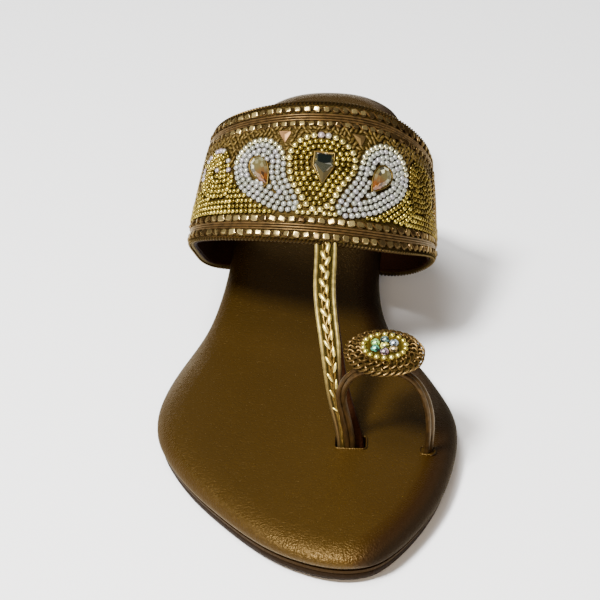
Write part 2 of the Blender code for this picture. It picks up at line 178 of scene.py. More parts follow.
def spline(points, fractions, closed=False):
    """Points on the smooth cubic through the given ones, at fractions of its chord length."""
    knots = np.array(points, float)
    if closed:
        knots = np.vstack([knots, knots[:1]])
    steps = np.linalg.norm(np.diff(knots, axis=0), axis=1)
    count = len(knots)
    rows = np.zeros((count, count))
    sides = np.zeros_like(knots)
    for k in range(1, count - 1):
        near, far = 1 / steps[k - 1], 1 / steps[k]
        rows[k, k - 1 : k + 2] = near, 2 * near + 2 * far, far
        sides[k] = 3 * (knots[k] - knots[k - 1]) * near**2 + 3 * (knots[k + 1] - knots[k]) * far**2
    if closed:
        rows[0, [0, 1]] = 2 / steps[0] + 2 / steps[-1], 1 / steps[0]
        rows[0, -2] = 1 / steps[-1]
        sides[0] = 3 * (knots[1] - knots[0]) / steps[0] ** 2
        sides[0] += 3 * (knots[-1] - knots[-2]) / steps[-1] ** 2
        rows[-1, [0, -1]] = 1, -1
    else:
        rows[0, :2] = 2, 1
        sides[0] = 3 * (knots[1] - knots[0]) / steps[0]
        rows[-1, -2:] = 1, 2
        sides[-1] = 3 * (knots[-1] - knots[-2]) / steps[-1]
    slopes = np.linalg.solve(rows, sides)
    places = np.concatenate([[0.0], np.cumsum(steps)])
    wanted = np.asarray(fractions, float) * places[-1]
    part = np.clip(np.searchsorted(places, wanted, side="right") - 1, 0, count - 2)
    t = ((wanted - places[part]) / steps[part])[:, None]
    step = steps[part][:, None]
    return (
        knots[part] * (2 * t**3 - 3 * t**2 + 1)
        + knots[part + 1] * (3 * t**2 - 2 * t**3)
        + slopes[part] * step * (t**3 - 2 * t**2 + t)
        + slopes[part + 1] * step * (t**3 - t**2)
    )


def path_lengths(path):
    """Length along a path up to each of its points."""
    steps = np.linalg.norm(np.diff(path, axis=0), axis=1)
    return np.concatenate([[0.0], np.cumsum(steps)])


def toe_lift(u):
    along = np.clip((u - SPRING_START_U) / (SOLE_LENGTH - SPRING_START_U), 0.0, None)
    return TOE_SPRING * along**2


def top_height(u):
    """Height of the footbed's top."""
    slope = smoothstep((SLOPE_FOOT_U - u) / (SLOPE_FOOT_U - SLOPE_TOP_U))
    return BALL_TOP + (HEEL_TOP - BALL_TOP) * slope + toe_lift(u)


def seam_height(u):
    """Height of the wedge's top, just under the footbed."""
    return top_height(u) - FOOTBED_THICK - SEAM_GAP


def outline_stations():
    """Outline points and inward normals of the lateral and the medial side, from heel to toe."""
    lateral = [(u, lateral_v) for u, lateral_v, _ in OUTLINE]
    medial = [(u, medial_v) for u, _, medial_v in reversed(OUTLINE)]
    loop = [(0.0, 0.0), *lateral, (SOLE_LENGTH, TOE_TIP_V), *medial]
    steps = np.linalg.norm(np.diff(np.array([*loop, loop[0]]), axis=0), axis=1)
    toe = steps[: len(lateral) + 1].sum() / steps.sum()
    even = np.linspace(0.0, 1.0, SOLE_STATIONS + 1)
    along = even - END_CROWDING * np.sin(2 * PI * even) / (2 * PI)
    sides = []
    for fractions in (toe * along, 1.0 - (1.0 - toe) * along):
        points = spline(loop, fractions, closed=True)
        ahead = spline(loop, (fractions + OUTLINE_REACH) % 1.0, closed=True)
        behind = spline(loop, (fractions - OUTLINE_REACH) % 1.0, closed=True)
        run = unit(ahead - behind)
        sides.append((points, np.column_stack([-run[:, 1], run[:, 0]])))
    return sides


def raked_inset(u, normals, z):
    """How far the sole is tucked in at a height: its sides lean more than its back."""
    rake = BACK_RAKE * normals[:, 0] ** 2 + SIDE_RAKE * normals[:, 1] ** 2
    return SEAM_INSET + rake * np.clip(seam_height(u) - z, 0.0, None)


def sole_ring(height, out):
    """A ring of the wedge or outsole: the outline tucked in at a height given by u, then let out."""

    def ring(points, normals):
        u = points[:, 0]
        inset = raked_inset(u, normals, height(u)) - out
        tucked = points + normals * inset[:, None]
        return np.column_stack([tucked, height(tucked[:, 0])])

    return ring


def footbed_ring(inset, drop):
    """A ring of the footbed's rolled edge."""

    def ring(points, normals):
        tucked = points + normals * inset
        return np.column_stack([tucked, top_height(tucked[:, 0]) - drop])

    return ring


def across(start, end, height, crown, columns):
    """Points between two edges of a layer, at a height given by u and crowned where it is wide."""
    wide = np.linalg.norm(end[:2] - start[:2])
    share = np.linspace(0.0, 1.0, columns + 1)[1:-1, None]
    flat = start[:2] * (1 - share) + end[:2] * share
    rise = crown * min(1.0, wide / CROWN_FULL_WIDTH) ** 2 * 4 * share * (1 - share)
    return np.column_stack([flat, height(flat[:, 0])[:, None] + rise])


def sole_sections(rings, floor, roof, crown=0.0, columns=12):
    """Closed sections of a layer of the sole, one for each station from heel to toe."""
    (lateral_points, lateral_normals), (medial_points, medial_normals) = outline_stations()
    lateral = [ring(lateral_points, lateral_normals) for ring in rings]
    medial = [ring(medial_points, medial_normals) for ring in rings]
    sections = []
    for k in range(SOLE_STATIONS + 1):
        up = np.array([ring[k] for ring in lateral])
        down = np.array([ring[k] for ring in reversed(medial)])
        over = across(up[-1], down[0], roof, crown, columns)
        under = across(down[-1], up[0], floor, 0.0, columns)
        sections.append(np.vstack([up, over, down, under]))
    return np.array(sections)


# ---------------------------------------------------------------- the band's chart

BAND_SHARES = np.linspace(0.0, 1.0, 801)
BAND_REACH = 0.0015


def band_surface(along, width):
    """Points of the band's outer surface, in shoe millimetres, for shares along and across it."""
    paths = spline(BAND, along)
    back, front = paths[:, :3], paths[:, 3:]
    run = spline(BAND, along + BAND_REACH) - spline(BAND, along - BAND_REACH)
    share = np.asarray(width, float)[:, None]
    run = run[:, :3] * (1 - share) + run[:, 3:] * share
    swell = np.sin(PI * along)[:, None] * 4 * share * (1 - share)
    outward = unit(np.cross(front - back, run))
    return back + (front - back) * share + outward * BAND_BULGE * swell


BAND_LENGTHS = path_lengths(band_surface(BAND_SHARES, np.full(len(BAND_SHARES), 0.5)))
BAND_HALF = np.interp(0.5, BAND_SHARES, BAND_LENGTHS)
BAND_START = -BAND_HALF
BAND_END = BAND_LENGTHS[-1] - BAND_HALF


def band_frames(s, w, lift=0.0):
    """Places on the band and their axes: along it, towards its front edge, and outward."""
    s, w = np.broadcast_arrays(np.asarray(s, float), np.asarray(w, float))
    along = np.interp(s + BAND_HALF, BAND_LENGTHS, BAND_SHARES)
    along = np.clip(along, BAND_REACH, 1 - BAND_REACH)
    place = band_surface(along, w)
    run = unit(band_surface(along + BAND_REACH, w) - band_surface(along - BAND_REACH, w))
    wide = band_surface(along, w + BAND_REACH) - band_surface(along, w - BAND_REACH)
    outward = unit(np.cross(wide, run))
    down = np.cross(run, outward)
    axes = np.stack([run, down, outward], axis=1)
    return place + outward * np.asarray(lift, float).reshape(-1, 1), axes


# ---------------------------------------------------------------- making pieces


def piece(name, points, faces, materials, smooth, tints=None, choices=None, weld=False):
    """A piece of the sandal from points in shoe millimetres, riding on the only body.

    Edges flatter than smooth, in degrees, are shaded round, and 0 leaves every face flat. tints is a
    shade for each point, and choices the number of each face's material.
    """
    mesh = bpy.data.meshes.new(name)
    mesh.from_pydata(placed(points).tolist(), [], faces)
    for material in materials if isinstance(materials, list) else [materials]:
        mesh.materials.append(material)
    if choices is not None:
        mesh.polygons.foreach_set("material_index", choices)
    if tints is not None:
        mesh.attributes.new("tint", "FLOAT", "POINT").data.foreach_set("value", tints)
    if weld:
        shape = bmesh.new()
        shape.from_mesh(mesh)
        bmesh.ops.remove_doubles(shape, verts=shape.verts, dist=WELD)
        bmesh.ops.dissolve_degenerate(shape, edges=shape.edges, dist=WELD / 2)
        bmesh.ops.recalc_face_normals(shape, faces=shape.faces)
        shape.to_mesh(mesh)
        shape.free()
    if smooth:
        mesh.shade_smooth()
        mesh.set_sharp_from_angle(angle=math.radians(smooth))
    made = bpy.data.objects.new(name, mesh)
    bpy.context.scene.collection.objects.link(made)
    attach(made, "root")
    return made


def ring_faces(rows, columns, first=0):
    """Quads that join closed rings of points, and a face over each end."""
    row, column = np.meshgrid(np.arange(rows - 1), np.arange(columns), indexing="ij")
    following = (column + 1) % columns
    corners = [
        row * columns + column,
        row * columns + following,
        (row + 1) * columns + following,
        (row + 1) * columns + column,
    ]
    faces = (np.stack(corners, axis=-1).reshape(-1, 4) + first).tolist()
    faces.append(list(range(first, first + columns)))
    faces.append(list(range(first + (rows - 1) * columns, first + rows * columns)))
    return faces


def loft(name, sections, material, smooth=BODY_SMOOTH):
    """A closed body through closed sections that have the same number of points."""
    sections = np.asarray(sections, float)
    rows, columns = sections.shape[:2]
    points, faces = sections.reshape(-1, 3), ring_faces(rows, columns)
    return piece(name, points, faces, material, smooth, weld=True)


def path_axes(path, hint):
    """Side and facing directions along a path, the side as near as can be to the hint."""
    run = unit(np.gradient(path, axis=0))
    hint = np.broadcast_to(np.asarray(hint, float), path.shape)
    side = unit(hint - run * np.sum(hint * run, axis=1, keepdims=True))
    return side, np.cross(run, side)


def tubes(name, lines, radius, material, sides=8):
    """Round cords as one mesh with closed ends, each along a path and turned by a hint."""
    points, faces, first = [], [], 0
    angles = 2 * PI * np.arange(sides) / sides
    for path, hint in lines:
        side, facing = path_axes(path, hint)
        circle = turned(side[:, None], facing[:, None], angles)
        points.append((path[:, None] + circle * radius).reshape(-1, 3))
        faces += ring_faces(len(path), sides, first)
        first += len(path) * sides
    return piece(name, np.vstack(points), faces, material, BODY_SMOOTH, weld=True)


def facet_body(name, stack, materials, choose=None, tints=None):
    """A flat-faced body through a stack of rings with the same number of corners.

    choose gives the number of a facet's material from its ring and corner.
    """
    stack = np.asarray(stack, float)
    rows, columns = stack.shape[:2]
    facets = [(row, corner) for row in range(rows - 1) for corner in range(columns)]
    choices = [choose(row, corner) if choose else 0 for row, corner in facets] + [0, 0]
    points, faces = stack.reshape(-1, 3), ring_faces(rows, columns)
    return piece(name, points, faces, materials, 0, tints, choices, weld=True)


def ball_template(sides, rings):
    """Points and faces of a ball of radius 1 with its poles on the third axis."""
    points = [(0.0, 0.0, 1.0)]
    for ring in range(1, rings):
        polar = PI * ring / rings
        for k in range(sides):
            turn = 2 * PI * k / sides
            across_turn = math.sin(polar) * math.cos(turn), math.sin(polar) * math.sin(turn)
            points.append((*across_turn, math.cos(polar)))
    points.append((0.0, 0.0, -1.0))
    last = len(points) - 1
    faces = []
    for k in range(sides):
        following = (k + 1) % sides
        faces.append((0, 1 + k, 1 + following))
        faces.append((last, last - sides + following, last - sides + k))
        for ring in range(rings - 2):
            top = 1 + ring * sides
            faces.append((top + k, top + sides + k, top + sides + following, top + following))
    return np.array(points), faces


def block_template():
    """Points and faces of a block from -1 to 1 with rounded edges."""
    shape = bmesh.new()
    bmesh.ops.create_cube(shape, size=2.0)
    bmesh.ops.bevel(shape, geom=shape.edges[:], offset=0.5, segments=3, affect="EDGES", profile=0.6)
    shape.verts.index_update()
    points = np.array([vertex.co[:] for vertex in shape.verts])
    faces = [tuple(vertex.index for vertex in face.verts) for face in shape.faces]
    shape.free()
    return points, faces


BLOCK = block_template()
BEAD = ball_template(14, 9)


def scatter(name, template, places, axes, sizes, material, painted_light=1.0):
    """Copies of a small shape, as one mesh: each at its place, along its axes, at its sizes.

    The last argument scales the random tints, from the look's dark end to its light end; below 1 it paints
    shade on those copies.
    """
    shape, faces = template
    places, axes = np.asarray(places, float), np.asarray(axes, float)
    sizes = np.broadcast_to(np.asarray(sizes, float), places.shape)
    copies = np.einsum("mk,nk,nkj->nmj", shape, sizes, axes) + places[:, None]
    offsets = (np.arange(len(places)) * len(shape))[:, None, None]
    every = []
    for corners in sorted({len(face) for face in faces}):
        same = np.array([face for face in faces if len(face) == corners])
        every += (same[None] + offsets).reshape(-1, corners).tolist()
    tints = np.repeat(RANDOM.random(len(places)) * painted_light, len(shape))
    return piece(name, copies.reshape(-1, 3), every, material, BEAD_SMOOTH, tints)


def tilted(axes, degrees):
    """Axes turned a little and at random, so that no two beads catch the light alike."""
    wobble = np.radians(degrees) * RANDOM.standard_normal((len(axes), 1, 3))
    leant = axes + np.cross(wobble, axes)
    run = unit(leant[:, 0])
    outward = unit(leant[:, 2] - run * np.sum(leant[:, 2] * run, axis=1, keepdims=True))
    return np.stack([run, np.cross(outward, run), outward], axis=1)


def leaned(axes, lean):
    """Axes turned about their outward direction by angles in radians."""
    along = turned(axes[:, 0], axes[:, 1], lean)
    return np.stack([along, np.cross(axes[:, 2], along), axes[:, 2]], axis=1)


def even_places(path, pitch):
    """Numbers of the points of a path that lie at an even pitch along it."""
    lengths = path_lengths(path)
    count = max(1, int(round(lengths[-1] / pitch)))
    wanted = (np.arange(count) + 0.5) * lengths[-1] / count
    return np.searchsorted(lengths, wanted).clip(0, len(path) - 1)


# ---------------------------------------------------------------- materials

LEATHER_TINT = (1.0, 0.78, 0.42, 1.0)
METAL_TINT = (1.0, 0.80, 0.48, 1.0)
EDGE_WEAR = (
    # how far the surface faces the medial side, extra roughness
    (0.1, 0.35), (0.35, 0.0), (0.57, 0.0), (0.7, 0.5),
)
# Painted shade on the footbed leather: darker where it faces the medial side, a little darker on the
# lateral side
PAINTED_SIDE_SHADE = (
    # how far the surface faces the medial side, painted shade
    (0.05, (0.72, 0.66, 0.5)),
    (0.35, (0.95, 0.95, 0.9)),
    (0.51, (1.0, 1.0, 1.0)),
    (0.56, (0.80, 0.72, 0.58)),
    (0.63, (0.36, 0.23, 0.09)),
    (0.75, (0.12, 0.05, 0.01)),
)
CLOUD_MM = 40.0
THREAD_MM = 0.45
MIX_INPUTS = (0, 6, 7)  # share and both colours among the mix node's sockets
MIX_OUTPUT = 2


class Shading:
    """A Principled material with short ways to add the nodes that vary it."""

    def __init__(self, name, color, roughness, metallic=0.0):
        self.material = bpy.data.materials.new(name)
        self.material.use_nodes = True
        self.nodes = self.material.node_tree.nodes
        self.links = self.material.node_tree.links
        self.shader = self.nodes["Principled BSDF"]
        self.set("Base Color", (*color, 1.0))
        self.set("Roughness", roughness)
        self.set("Metallic", metallic)

    def set(self, socket, value):
        self.shader.inputs[socket].default_value = value

    def specular(self, tint, level=0.5):
        self.set("Specular Tint", tint)
        self.set("Specular IOR Level", level)

    def coat(self, weight, roughness):
        self.set("Coat Weight", weight)
        self.set("Coat Roughness", roughness)

    def add(self, kind, **values):
        node = self.nodes.new(kind)
        for key, value in values.items():
            if key in node.inputs:
                node.inputs[key].default_value = value
            else:
                setattr(node, key, value)
        return node

    def join(self, source, target):
        self.links.new(source, target)

    def coordinates(self, kind="Object"):
        return self.add("ShaderNodeTexCoord").outputs[kind]

    def axis(self, source, letter):
        split = self.add("ShaderNodeSeparateXYZ")
        self.join(source, split.inputs["Vector"])
        return split.outputs[letter]

    def tint(self):
        """The shade that a piece gives each of its points, from 0 to 1."""
        return self.add("ShaderNodeAttribute", attribute_name="tint").outputs["Fac"]

    def noise(self, size_mm, detail=2.0):
        """Noise with features of a size in millimetres."""
        node = self.add("ShaderNodeTexNoise", Scale=1.0 / (size_mm * MM), Detail=detail)
        self.join(self.coordinates(), node.inputs["Vector"])
        return node.outputs["Fac"]

    def ramp(self, source, stops):
        """Colours or greys at places from 0 to 1 of a value."""
        node = self.add("ShaderNodeValToRGB")
        elements = node.color_ramp.elements
        while len(elements) < len(stops):
            elements.new(0.5)
        for element, (place, color) in zip(elements, stops):
            element.position = place
            element.color = (*color, 1.0) if hasattr(color, "__len__") else (color,) * 3 + (1.0,)
        self.join(source, node.inputs["Fac"])
        return node.outputs["Color"]

    def mix(self, share, first, second, blend="MIX"):
        node = self.add("ShaderNodeMix", data_type="RGBA", blend_type=blend)
        for socket, value in zip(MIX_INPUTS, (share, first, second)):
            if hasattr(value, "is_output"):
                self.join(value, node.inputs[socket])
            elif hasattr(value, "__len__"):
                node.inputs[socket].default_value = (*value, 1.0)
            else:
                node.inputs[socket].default_value = value
        return node.outputs[MIX_OUTPUT]

    def remap(self, source, start=(0.0, 1.0), end=(0.0, 1.0), kind="LINEAR"):
        """A value taken from one range to another."""
        node = self.add("ShaderNodeMapRange", interpolation_type=kind)
        for name, value in zip(("From Min", "From Max", "To Min", "To Max"), (*start, *end)):
            node.inputs[name].default_value = value
        self.join(source, node.inputs["Value"])
        return node.outputs["Result"]

    def sideways(self):
        """0 on a surface that faces the lateral side, 1 on one that faces the medial side."""
        return self.remap(self.axis(self.coordinates("Normal"), "X"), (-1.0, 1.0))

    def height(self, low_mm, high_mm):
        """0 up to one height above the floor and 1 from another."""
        up = self.axis(self.coordinates(), "Z")
        return self.remap(up, (low_mm * MM, high_mm * MM), kind="SMOOTHSTEP")

    def paint(self, color):
        self.join(color, self.shader.inputs["Base Color"])

    def rough(self, source):
        self.join(source, self.shader.inputs["Roughness"])

    def bump(self, source, depth_mm, strength):
        """Relief of a depth in millimetres, on top of any relief that is there already."""
        node = self.add("ShaderNodeBump", Strength=strength, Distance=depth_mm * MM)
        self.join(source, node.inputs["Height"])
        normal = self.shader.inputs["Normal"]
        if normal.is_linked:
            self.join(normal.links[0].from_socket, node.inputs["Normal"])
        self.join(node.outputs["Normal"], normal)


def scaled(color, factor):
    return tuple(min(1.0, channel * factor) for channel in color)


def leather(name, color, roughness, metallic, gloss, grain_mm, grain_depth=0.35, side_shade=None):
    """Coated leather: a faint cloudiness and a fine grain that breaks up its highlights.

    The last argument gives painted shade multiplied into the colour by which way the surface faces, darkest
    at the medial edge and a little darker at the lateral edge.
    """
    look = Shading(name, color, roughness, metallic)
    look.specular(LEATHER_TINT, gloss)
    fine = look.noise(grain_mm)
    clouds = [(0.3, scaled(color, 0.95)), (0.7, scaled(color, 1.05))]
    base = look.ramp(look.noise(CLOUD_MM), clouds)
    dull, shiny = roughness + 0.08, roughness - 0.06
    if side_shade:
        # painted shade: the colour is darkened by which way the surface faces
        base = look.mix(1.0, base, look.ramp(look.sideways(), side_shade), "MULTIPLY")
        polish = look.ramp(fine, [(0.0, dull), (1.0, shiny)])
        look.rough(look.mix(1.0, polish, look.ramp(look.sideways(), EDGE_WEAR), "ADD"))
    else:
        look.rough(look.remap(fine, end=(dull, shiny)))
    speckle = look.ramp(fine, [(0.35, 0.86), (0.65, 1.0)])
    look.paint(look.mix(1.0, base, speckle, "MULTIPLY"))
    look.bump(look.noise(9.0), 0.03, strength=0.4)
    look.bump(fine, grain_depth, strength=1.0)
    if side_shade:
        look.bump(look.noise(0.3 * grain_mm, detail=1.0), 0.12 * grain_depth, strength=1.0)
    return look.material


def metal_beads(name, dark, light, roughness, metallic=0.8):
    """Plated beads: each a little lighter or darker than the next, with tiny dents."""
    look = Shading(name, light, roughness, metallic)
    look.specular(METAL_TINT)
    wear = look.ramp(look.noise(0.9, detail=3.0), [(0.3, 0.72), (0.62, 1.0)])
    look.paint(look.mix(1.0, look.ramp(look.tint(), [(0.0, dark), (1.0, light)]), wear, "MULTIPLY"))
    look.bump(look.noise(0.5), 0.03, strength=0.5)
    return look.material


def pearl(name, shades):
    """Pearl coating: a soft body whose shade turns from bead to bead, under a clear gloss."""
    look = Shading(name, shades[1], 0.24, 0.35)
    look.coat(1.0, 0.06)
    look.paint(look.ramp(look.tint(), list(zip((0.0, 0.5, 1.0), shades))))
    look.bump(look.noise(0.7), 0.05, strength=0.4)
    return look.material


def foil(name, color, roughness, metallic, crease_mm=1.6, shaded_foot=None, shade_heights=(14.0, 40.0)):
    """Foil-coated piping: fine creases in a warm skin, with painted shade that turns it to another colour
    near the sole.
    """
    look = Shading(name, color, roughness, metallic)
    look.specular(METAL_TINT, 0.3)
    creases = look.noise(crease_mm, detail=4.0)
    base = look.ramp(creases, [(0.38, scaled(color, 0.5)), (0.6, color)])
    # painted shade: below the given heights the colour turns to the darker colour of the foot
    look.paint(look.mix(look.height(*shade_heights), shaded_foot, base) if shaded_foot else base)
    look.rough(look.remap(creases, end=(roughness + 0.1, roughness - 0.06)))
    look.bump(creases, 0.12, strength=0.5)
    look.bump(look.noise(0.35), 0.02, strength=0.5)
    return look.material


def cloth(name, dark, light):
    """Woven metallic ground under the beads."""
    look = Shading(name, light, 0.5, 0.6)
    look.specular(METAL_TINT, 0.1)
    scale = 1.0 / (THREAD_MM * MM) / 3.0
    threads = []
    for direction in ("X", "Z"):
        values = {"Scale": scale, "Distortion": 1.5, "Detail": 1.0, "bands_direction": direction}
        wave = look.add("ShaderNodeTexWave", **values)
        look.join(look.coordinates(), wave.inputs["Vector"])
        threads.append(wave.outputs["Color"])
    weave = look.mix(0.5, *threads)
    look.paint(look.ramp(weave, [(0.2, dark), (0.7, light)]))
    look.bump(weave, 0.12, strength=0.8)
    return look.material


def gem(name, body, tip=None):
    """Foil-backed glass: its hue over its body, and perhaps another at its tip."""
    look = Shading(name, body, 0.06, 0.5)
    look.coat(0.5, 0.03)
    look.paint(look.ramp(look.tint(), [(0.25, tip or body), (0.6, body)]))
    look.bump(look.noise(0.8, detail=1.0), 0.01, strength=0.3)
    return look.material


def stone_glass(name, hue):
    """Iridescent coated glass: its own hue, with darker and lighter patches as painted reflection, shifted
    by a thin film.
    """
    look = Shading(name, hue, 0.08, 0.55)
    look.coat(1.0, 0.03)
    look.set("Thin Film Thickness", 380.0)
    look.set("Thin Film IOR", 1.5)
    # painted reflection: dark and light patches in the stone's hue stand in for its facets' reflections
    look.paint(look.ramp(look.noise(0.9, detail=1.0), [(0.44, scaled(hue, 0.1)), (0.54, scaled(hue, 1.3))]))
    return look.material


BRONZE = leather("bronze_leather", (0.041, 0.0208, 0.0028), 0.24, 0.38, 0.28, 0.55, 0.30, PAINTED_SIDE_SHADE)
WRAP = leather("wedge_leather", (0.022, 0.0108, 0.003), 0.66, 0.1, 0.06, 0.9)
RUBBER = leather("dark_rubber", (0.011, 0.0058, 0.003), 0.6, 0.0, 0.05, 0.9)
MAROON = leather("maroon_lining", (0.013, 0.0036, 0.0012), 0.6, 0.0, 0.03, 0.7)
GROUND = cloth("bronze_ground", (0.010, 0.006, 0.001), (0.045, 0.028, 0.006))
GOLD = metal_beads("gold_beads", (0.09, 0.062, 0.009), (0.47, 0.37, 0.075), 0.22, 0.9)
# Darker gold for beads on the medial side of the band: painted shade
SHADED_GOLD = metal_beads("shaded_gold_beads", (0.024, 0.015, 0.002), (0.18, 0.128, 0.023), 0.17, 0.85)
SILVER = metal_beads("silver_gold_beads", (0.42, 0.34, 0.095), (0.84, 0.72, 0.28), 0.17, 0.9)
PALE_SILVER = metal_beads("pale_silver_beads", (0.42, 0.40, 0.24), (0.86, 0.83, 0.56), 0.17, 0.9)
BRASS = metal_beads("brass_blocks", (0.040, 0.020, 0.006), (0.66, 0.50, 0.19), 0.2, 0.8)
GIMP_LOOK = metal_beads("gimp_wire", (0.052, 0.029, 0.009), (0.17, 0.105, 0.032), 0.3)
RIM_WIRE = metal_beads("rim_wire", (0.03, 0.017, 0.004), (0.11, 0.065, 0.018), 0.3)
# Dark copper for the medial side columns: their copper-bronze colour, darkened further as painted shade
COPPER = metal_beads("copper_beads", (0.026, 0.013, 0.003), (0.115, 0.066, 0.02), 0.2, 0.9)
PALE_BRASS = metal_beads("pale_brass_beads", (0.060, 0.040, 0.012), (0.27, 0.20, 0.075), 0.18, 0.9)
OLIVE = metal_beads("olive_bugles", (0.045, 0.026, 0.003), (0.080, 0.050, 0.008), 0.5, 0.5)
PEARL = pearl("white_pearls", ((0.17, 0.175, 0.135), (0.22, 0.225, 0.19), (0.225, 0.215, 0.22)))
LAVENDER = pearl("lavender_pearls", ((0.26, 0.20, 0.20), (0.22, 0.17, 0.23), (0.28, 0.25, 0.20)))
PIPING_GOLD = (0.27, 0.205, 0.058)
# Both pipings darken to brown near the sole as painted shade, the medial one over a shorter height
PIPING = foil("gold_piping", PIPING_GOLD, 0.42, 0.6, shaded_foot=(0.060, 0.036, 0.012))
SHADED_PIPING = foil(
    "shaded_piping", PIPING_GOLD, 0.42, 0.6, shaded_foot=(0.035, 0.019, 0.008), shade_heights=(27.0, 37.0)
)
CORD = foil("brown_cord", (0.042, 0.0215, 0.006), 0.36, 0.4)
COUCHED = foil("couched_cord", (0.080, 0.044, 0.0135), 0.34, 0.5)
ROSE = foil("rose_gold_stud", (0.31, 0.165, 0.07), 0.5, 0.85, 4.0)
BRONZE_STUD = foil("bronze_stud", (0.17, 0.105, 0.036), 0.44, 0.8, 4.0)
BRONZE_WIRE = metal_beads("bronze_wire", (0.11, 0.068, 0.014), (0.27, 0.18, 0.05), 0.3)
FILIGREE = metal_beads("filigree_wire", (0.085, 0.048, 0.012), (0.21, 0.13, 0.040), 0.34, 0.7)
BRAID = metal_beads("gold_braid", (0.62, 0.47, 0.11), (0.92, 0.76, 0.24), 0.3, 0.85)
TAPE_BED = cloth("tape_bed", (0.008, 0.0055, 0.0003), (0.022, 0.0155, 0.0014))
GOLD_SEAT = cloth("ornament_seat", (0.03, 0.02, 0.002), (0.12, 0.085, 0.010))
BRIGHT_GOLD = metal_beads("bright_gold_beads", (0.50, 0.41, 0.07), (0.86, 0.76, 0.22), 0.2, 0.9)
# Dark and grey glass for the kite's table and upper facets, painted reflection; tan glass for its lower
# facets
DARK_GLASS = gem("dark_glass", (0.002, 0.004, 0.002))
GREY_GLASS = gem("grey_glass", (0.035, 0.035, 0.020))
TAN_GLASS = gem("tan_glass", (0.07, 0.052, 0.018))
AMBER_GLASS = gem("amber_glass", (0.12, 0.098, 0.036), (0.15, 0.045, 0.005))
HONEY_GLASS = gem("honey_glass", (0.22, 0.20, 0.095), (0.10, 0.034, 0.005))
# Dark and bright facet glasses for the drops: painted reflection and painted glints
SHADED_FACET_GLASS = gem("shaded_facet_glass", (0.04, 0.034, 0.018), (0.04, 0.014, 0.003))
PAINTED_GLINT_GLASS = gem("painted_glint_glass", (0.72, 0.70, 0.46), (0.30, 0.13, 0.03))


# ---------------------------------------------------------------- sole

SLOTS = {
    # name: middle u, middle v, length along u, length along v
    "post_slot": (194.8, 13.8, 6.4, 9.2),
    "medial_slot": (197.1, 36.4, 3.8, 4.2),
}
SLOT_CROWN = (0.36, -0.14)
SLOT_CORNER = 1.2
SLOT_LIP = 0.3
SLOT_LIP_OUT = 0.4  # how far outside the slot the lip's middle lies, as a share of its radius
SLOT_CORNER_POINTS = 6
CUT_SPARE = 2.0
FOOTBED_RINGS = 18
FOOTBED_COLUMNS = 22
WEDGE_RINGS = (
    # share of the height, distance outward
    (0.0, -0.3),
    *((share, 0.0) for share in np.linspace(0.02, 0.98, 9)),
    (1.0, -0.4),
)
OUTSOLE_RINGS = ((0.0, -0.35), (0.14, 0.0), (0.5, 0.15), (0.86, 0.0), (1.0, -0.35))


def slot_ring(slot, grown):
    """Points round a slot with rounded corners, as u and v."""
    middle_u, middle_v, length, width = slot
    points = []
    for quarter, (along, side) in enumerate(((1, 1), (-1, 1), (-1, -1), (1, -1))):
        for turn in np.linspace(0.0, 90.0, SLOT_CORNER_POINTS):
            angle = math.radians(90.0 * quarter + turn)
            reach = SLOT_CORNER + grown
            u = middle_u + along * (length / 2 - SLOT_CORNER) + reach * math.cos(angle)
            v = middle_v + side * (width / 2 - SLOT_CORNER) + reach * math.sin(angle)
            points.append((u, v))
    return np.array(points)


def cut_slot(body, slot):
    """Cut a slot right through the footbed."""
    ring = slot_ring(slot, 0.0)
    top = top_height(slot[0])
    levels = (top + CUT_SPARE, top - FOOTBED_THICK - CUT_SPARE)
    points = np.vstack([np.column_stack([ring, np.full(len(ring), level)]) for level in levels])
    mesh = bpy.data.meshes.new("cutter")
    mesh.from_pydata(placed(points).tolist(), [], ring_faces(2, len(ring)))
    mesh.materials.append(MAROON)
    cutter = bpy.data.objects.new("cutter", mesh)
    bpy.context.scene.collection.objects.link(cutter)
    change = body.modifiers.new("slot", "BOOLEAN")
    change.operation = "DIFFERENCE"
    change.solver = "EXACT"
    change.material_mode = "TRANSFER"
    change.object = cutter
    graph = bpy.context.evaluated_depsgraph_get()
    body.data = bpy.data.meshes.new_from_object(body.evaluated_get(graph))
    body.modifiers.clear()
    bpy.data.objects.remove(cutter)


def slot_lips():
    """The turned leather lip round each slot."""
    lines = []
    for slot, crown in zip(SLOTS.values(), SLOT_CROWN):
        ring = slot_ring(slot, SLOT_LIP * SLOT_LIP_OUT)
        ring = np.vstack([ring, ring[:1]])
        lines.append((np.column_stack([ring, top_height(ring[:, 0]) + crown]), UP))
    tubes("slot_lips", lines, SLOT_LIP, BRONZE)


def footbed():
    edge = spline(FOOTBED_EDGE, np.linspace(0.0, 1.0, FOOTBED_RINGS))
    rings = [footbed_ring(inset, drop) for inset, drop in edge]

    def under(u):
        return top_height(u) - FOOTBED_THICK

    def flat_of_top(u):
        return top_height(u) - FOOTBED_EDGE[-1][1]

    sections = sole_sections(rings, under, flat_of_top, FOOTBED_CROWN, FOOTBED_COLUMNS)
    made = loft("footbed_leather", sections, BRONZE)
    for slot in SLOTS.values():
        cut_slot(made, slot)
    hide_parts("footbed")


def sole_layer(name, rings, floor, roof, material):
    """A layer of the sole between two heights given by u, through rings at shares of its height."""

    def part_way(share):
        return lambda u: floor(u) + share * (roof(u) - floor(u))

    outlines = [sole_ring(part_way(share), out) for share, out in rings]
    return loft(name, sole_sections(outlines, floor, roof), material)


def outsole_top(u):
    return toe_lift(u) + OUTSOLE_THICK


def wedge_floor(u):
    return outsole_top(u) + SEAM_GAP


def wedge():
    made = sole_layer("wedge_wrap", WEDGE_RINGS, wedge_floor, seam_height, WRAP)
    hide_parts("wedge")


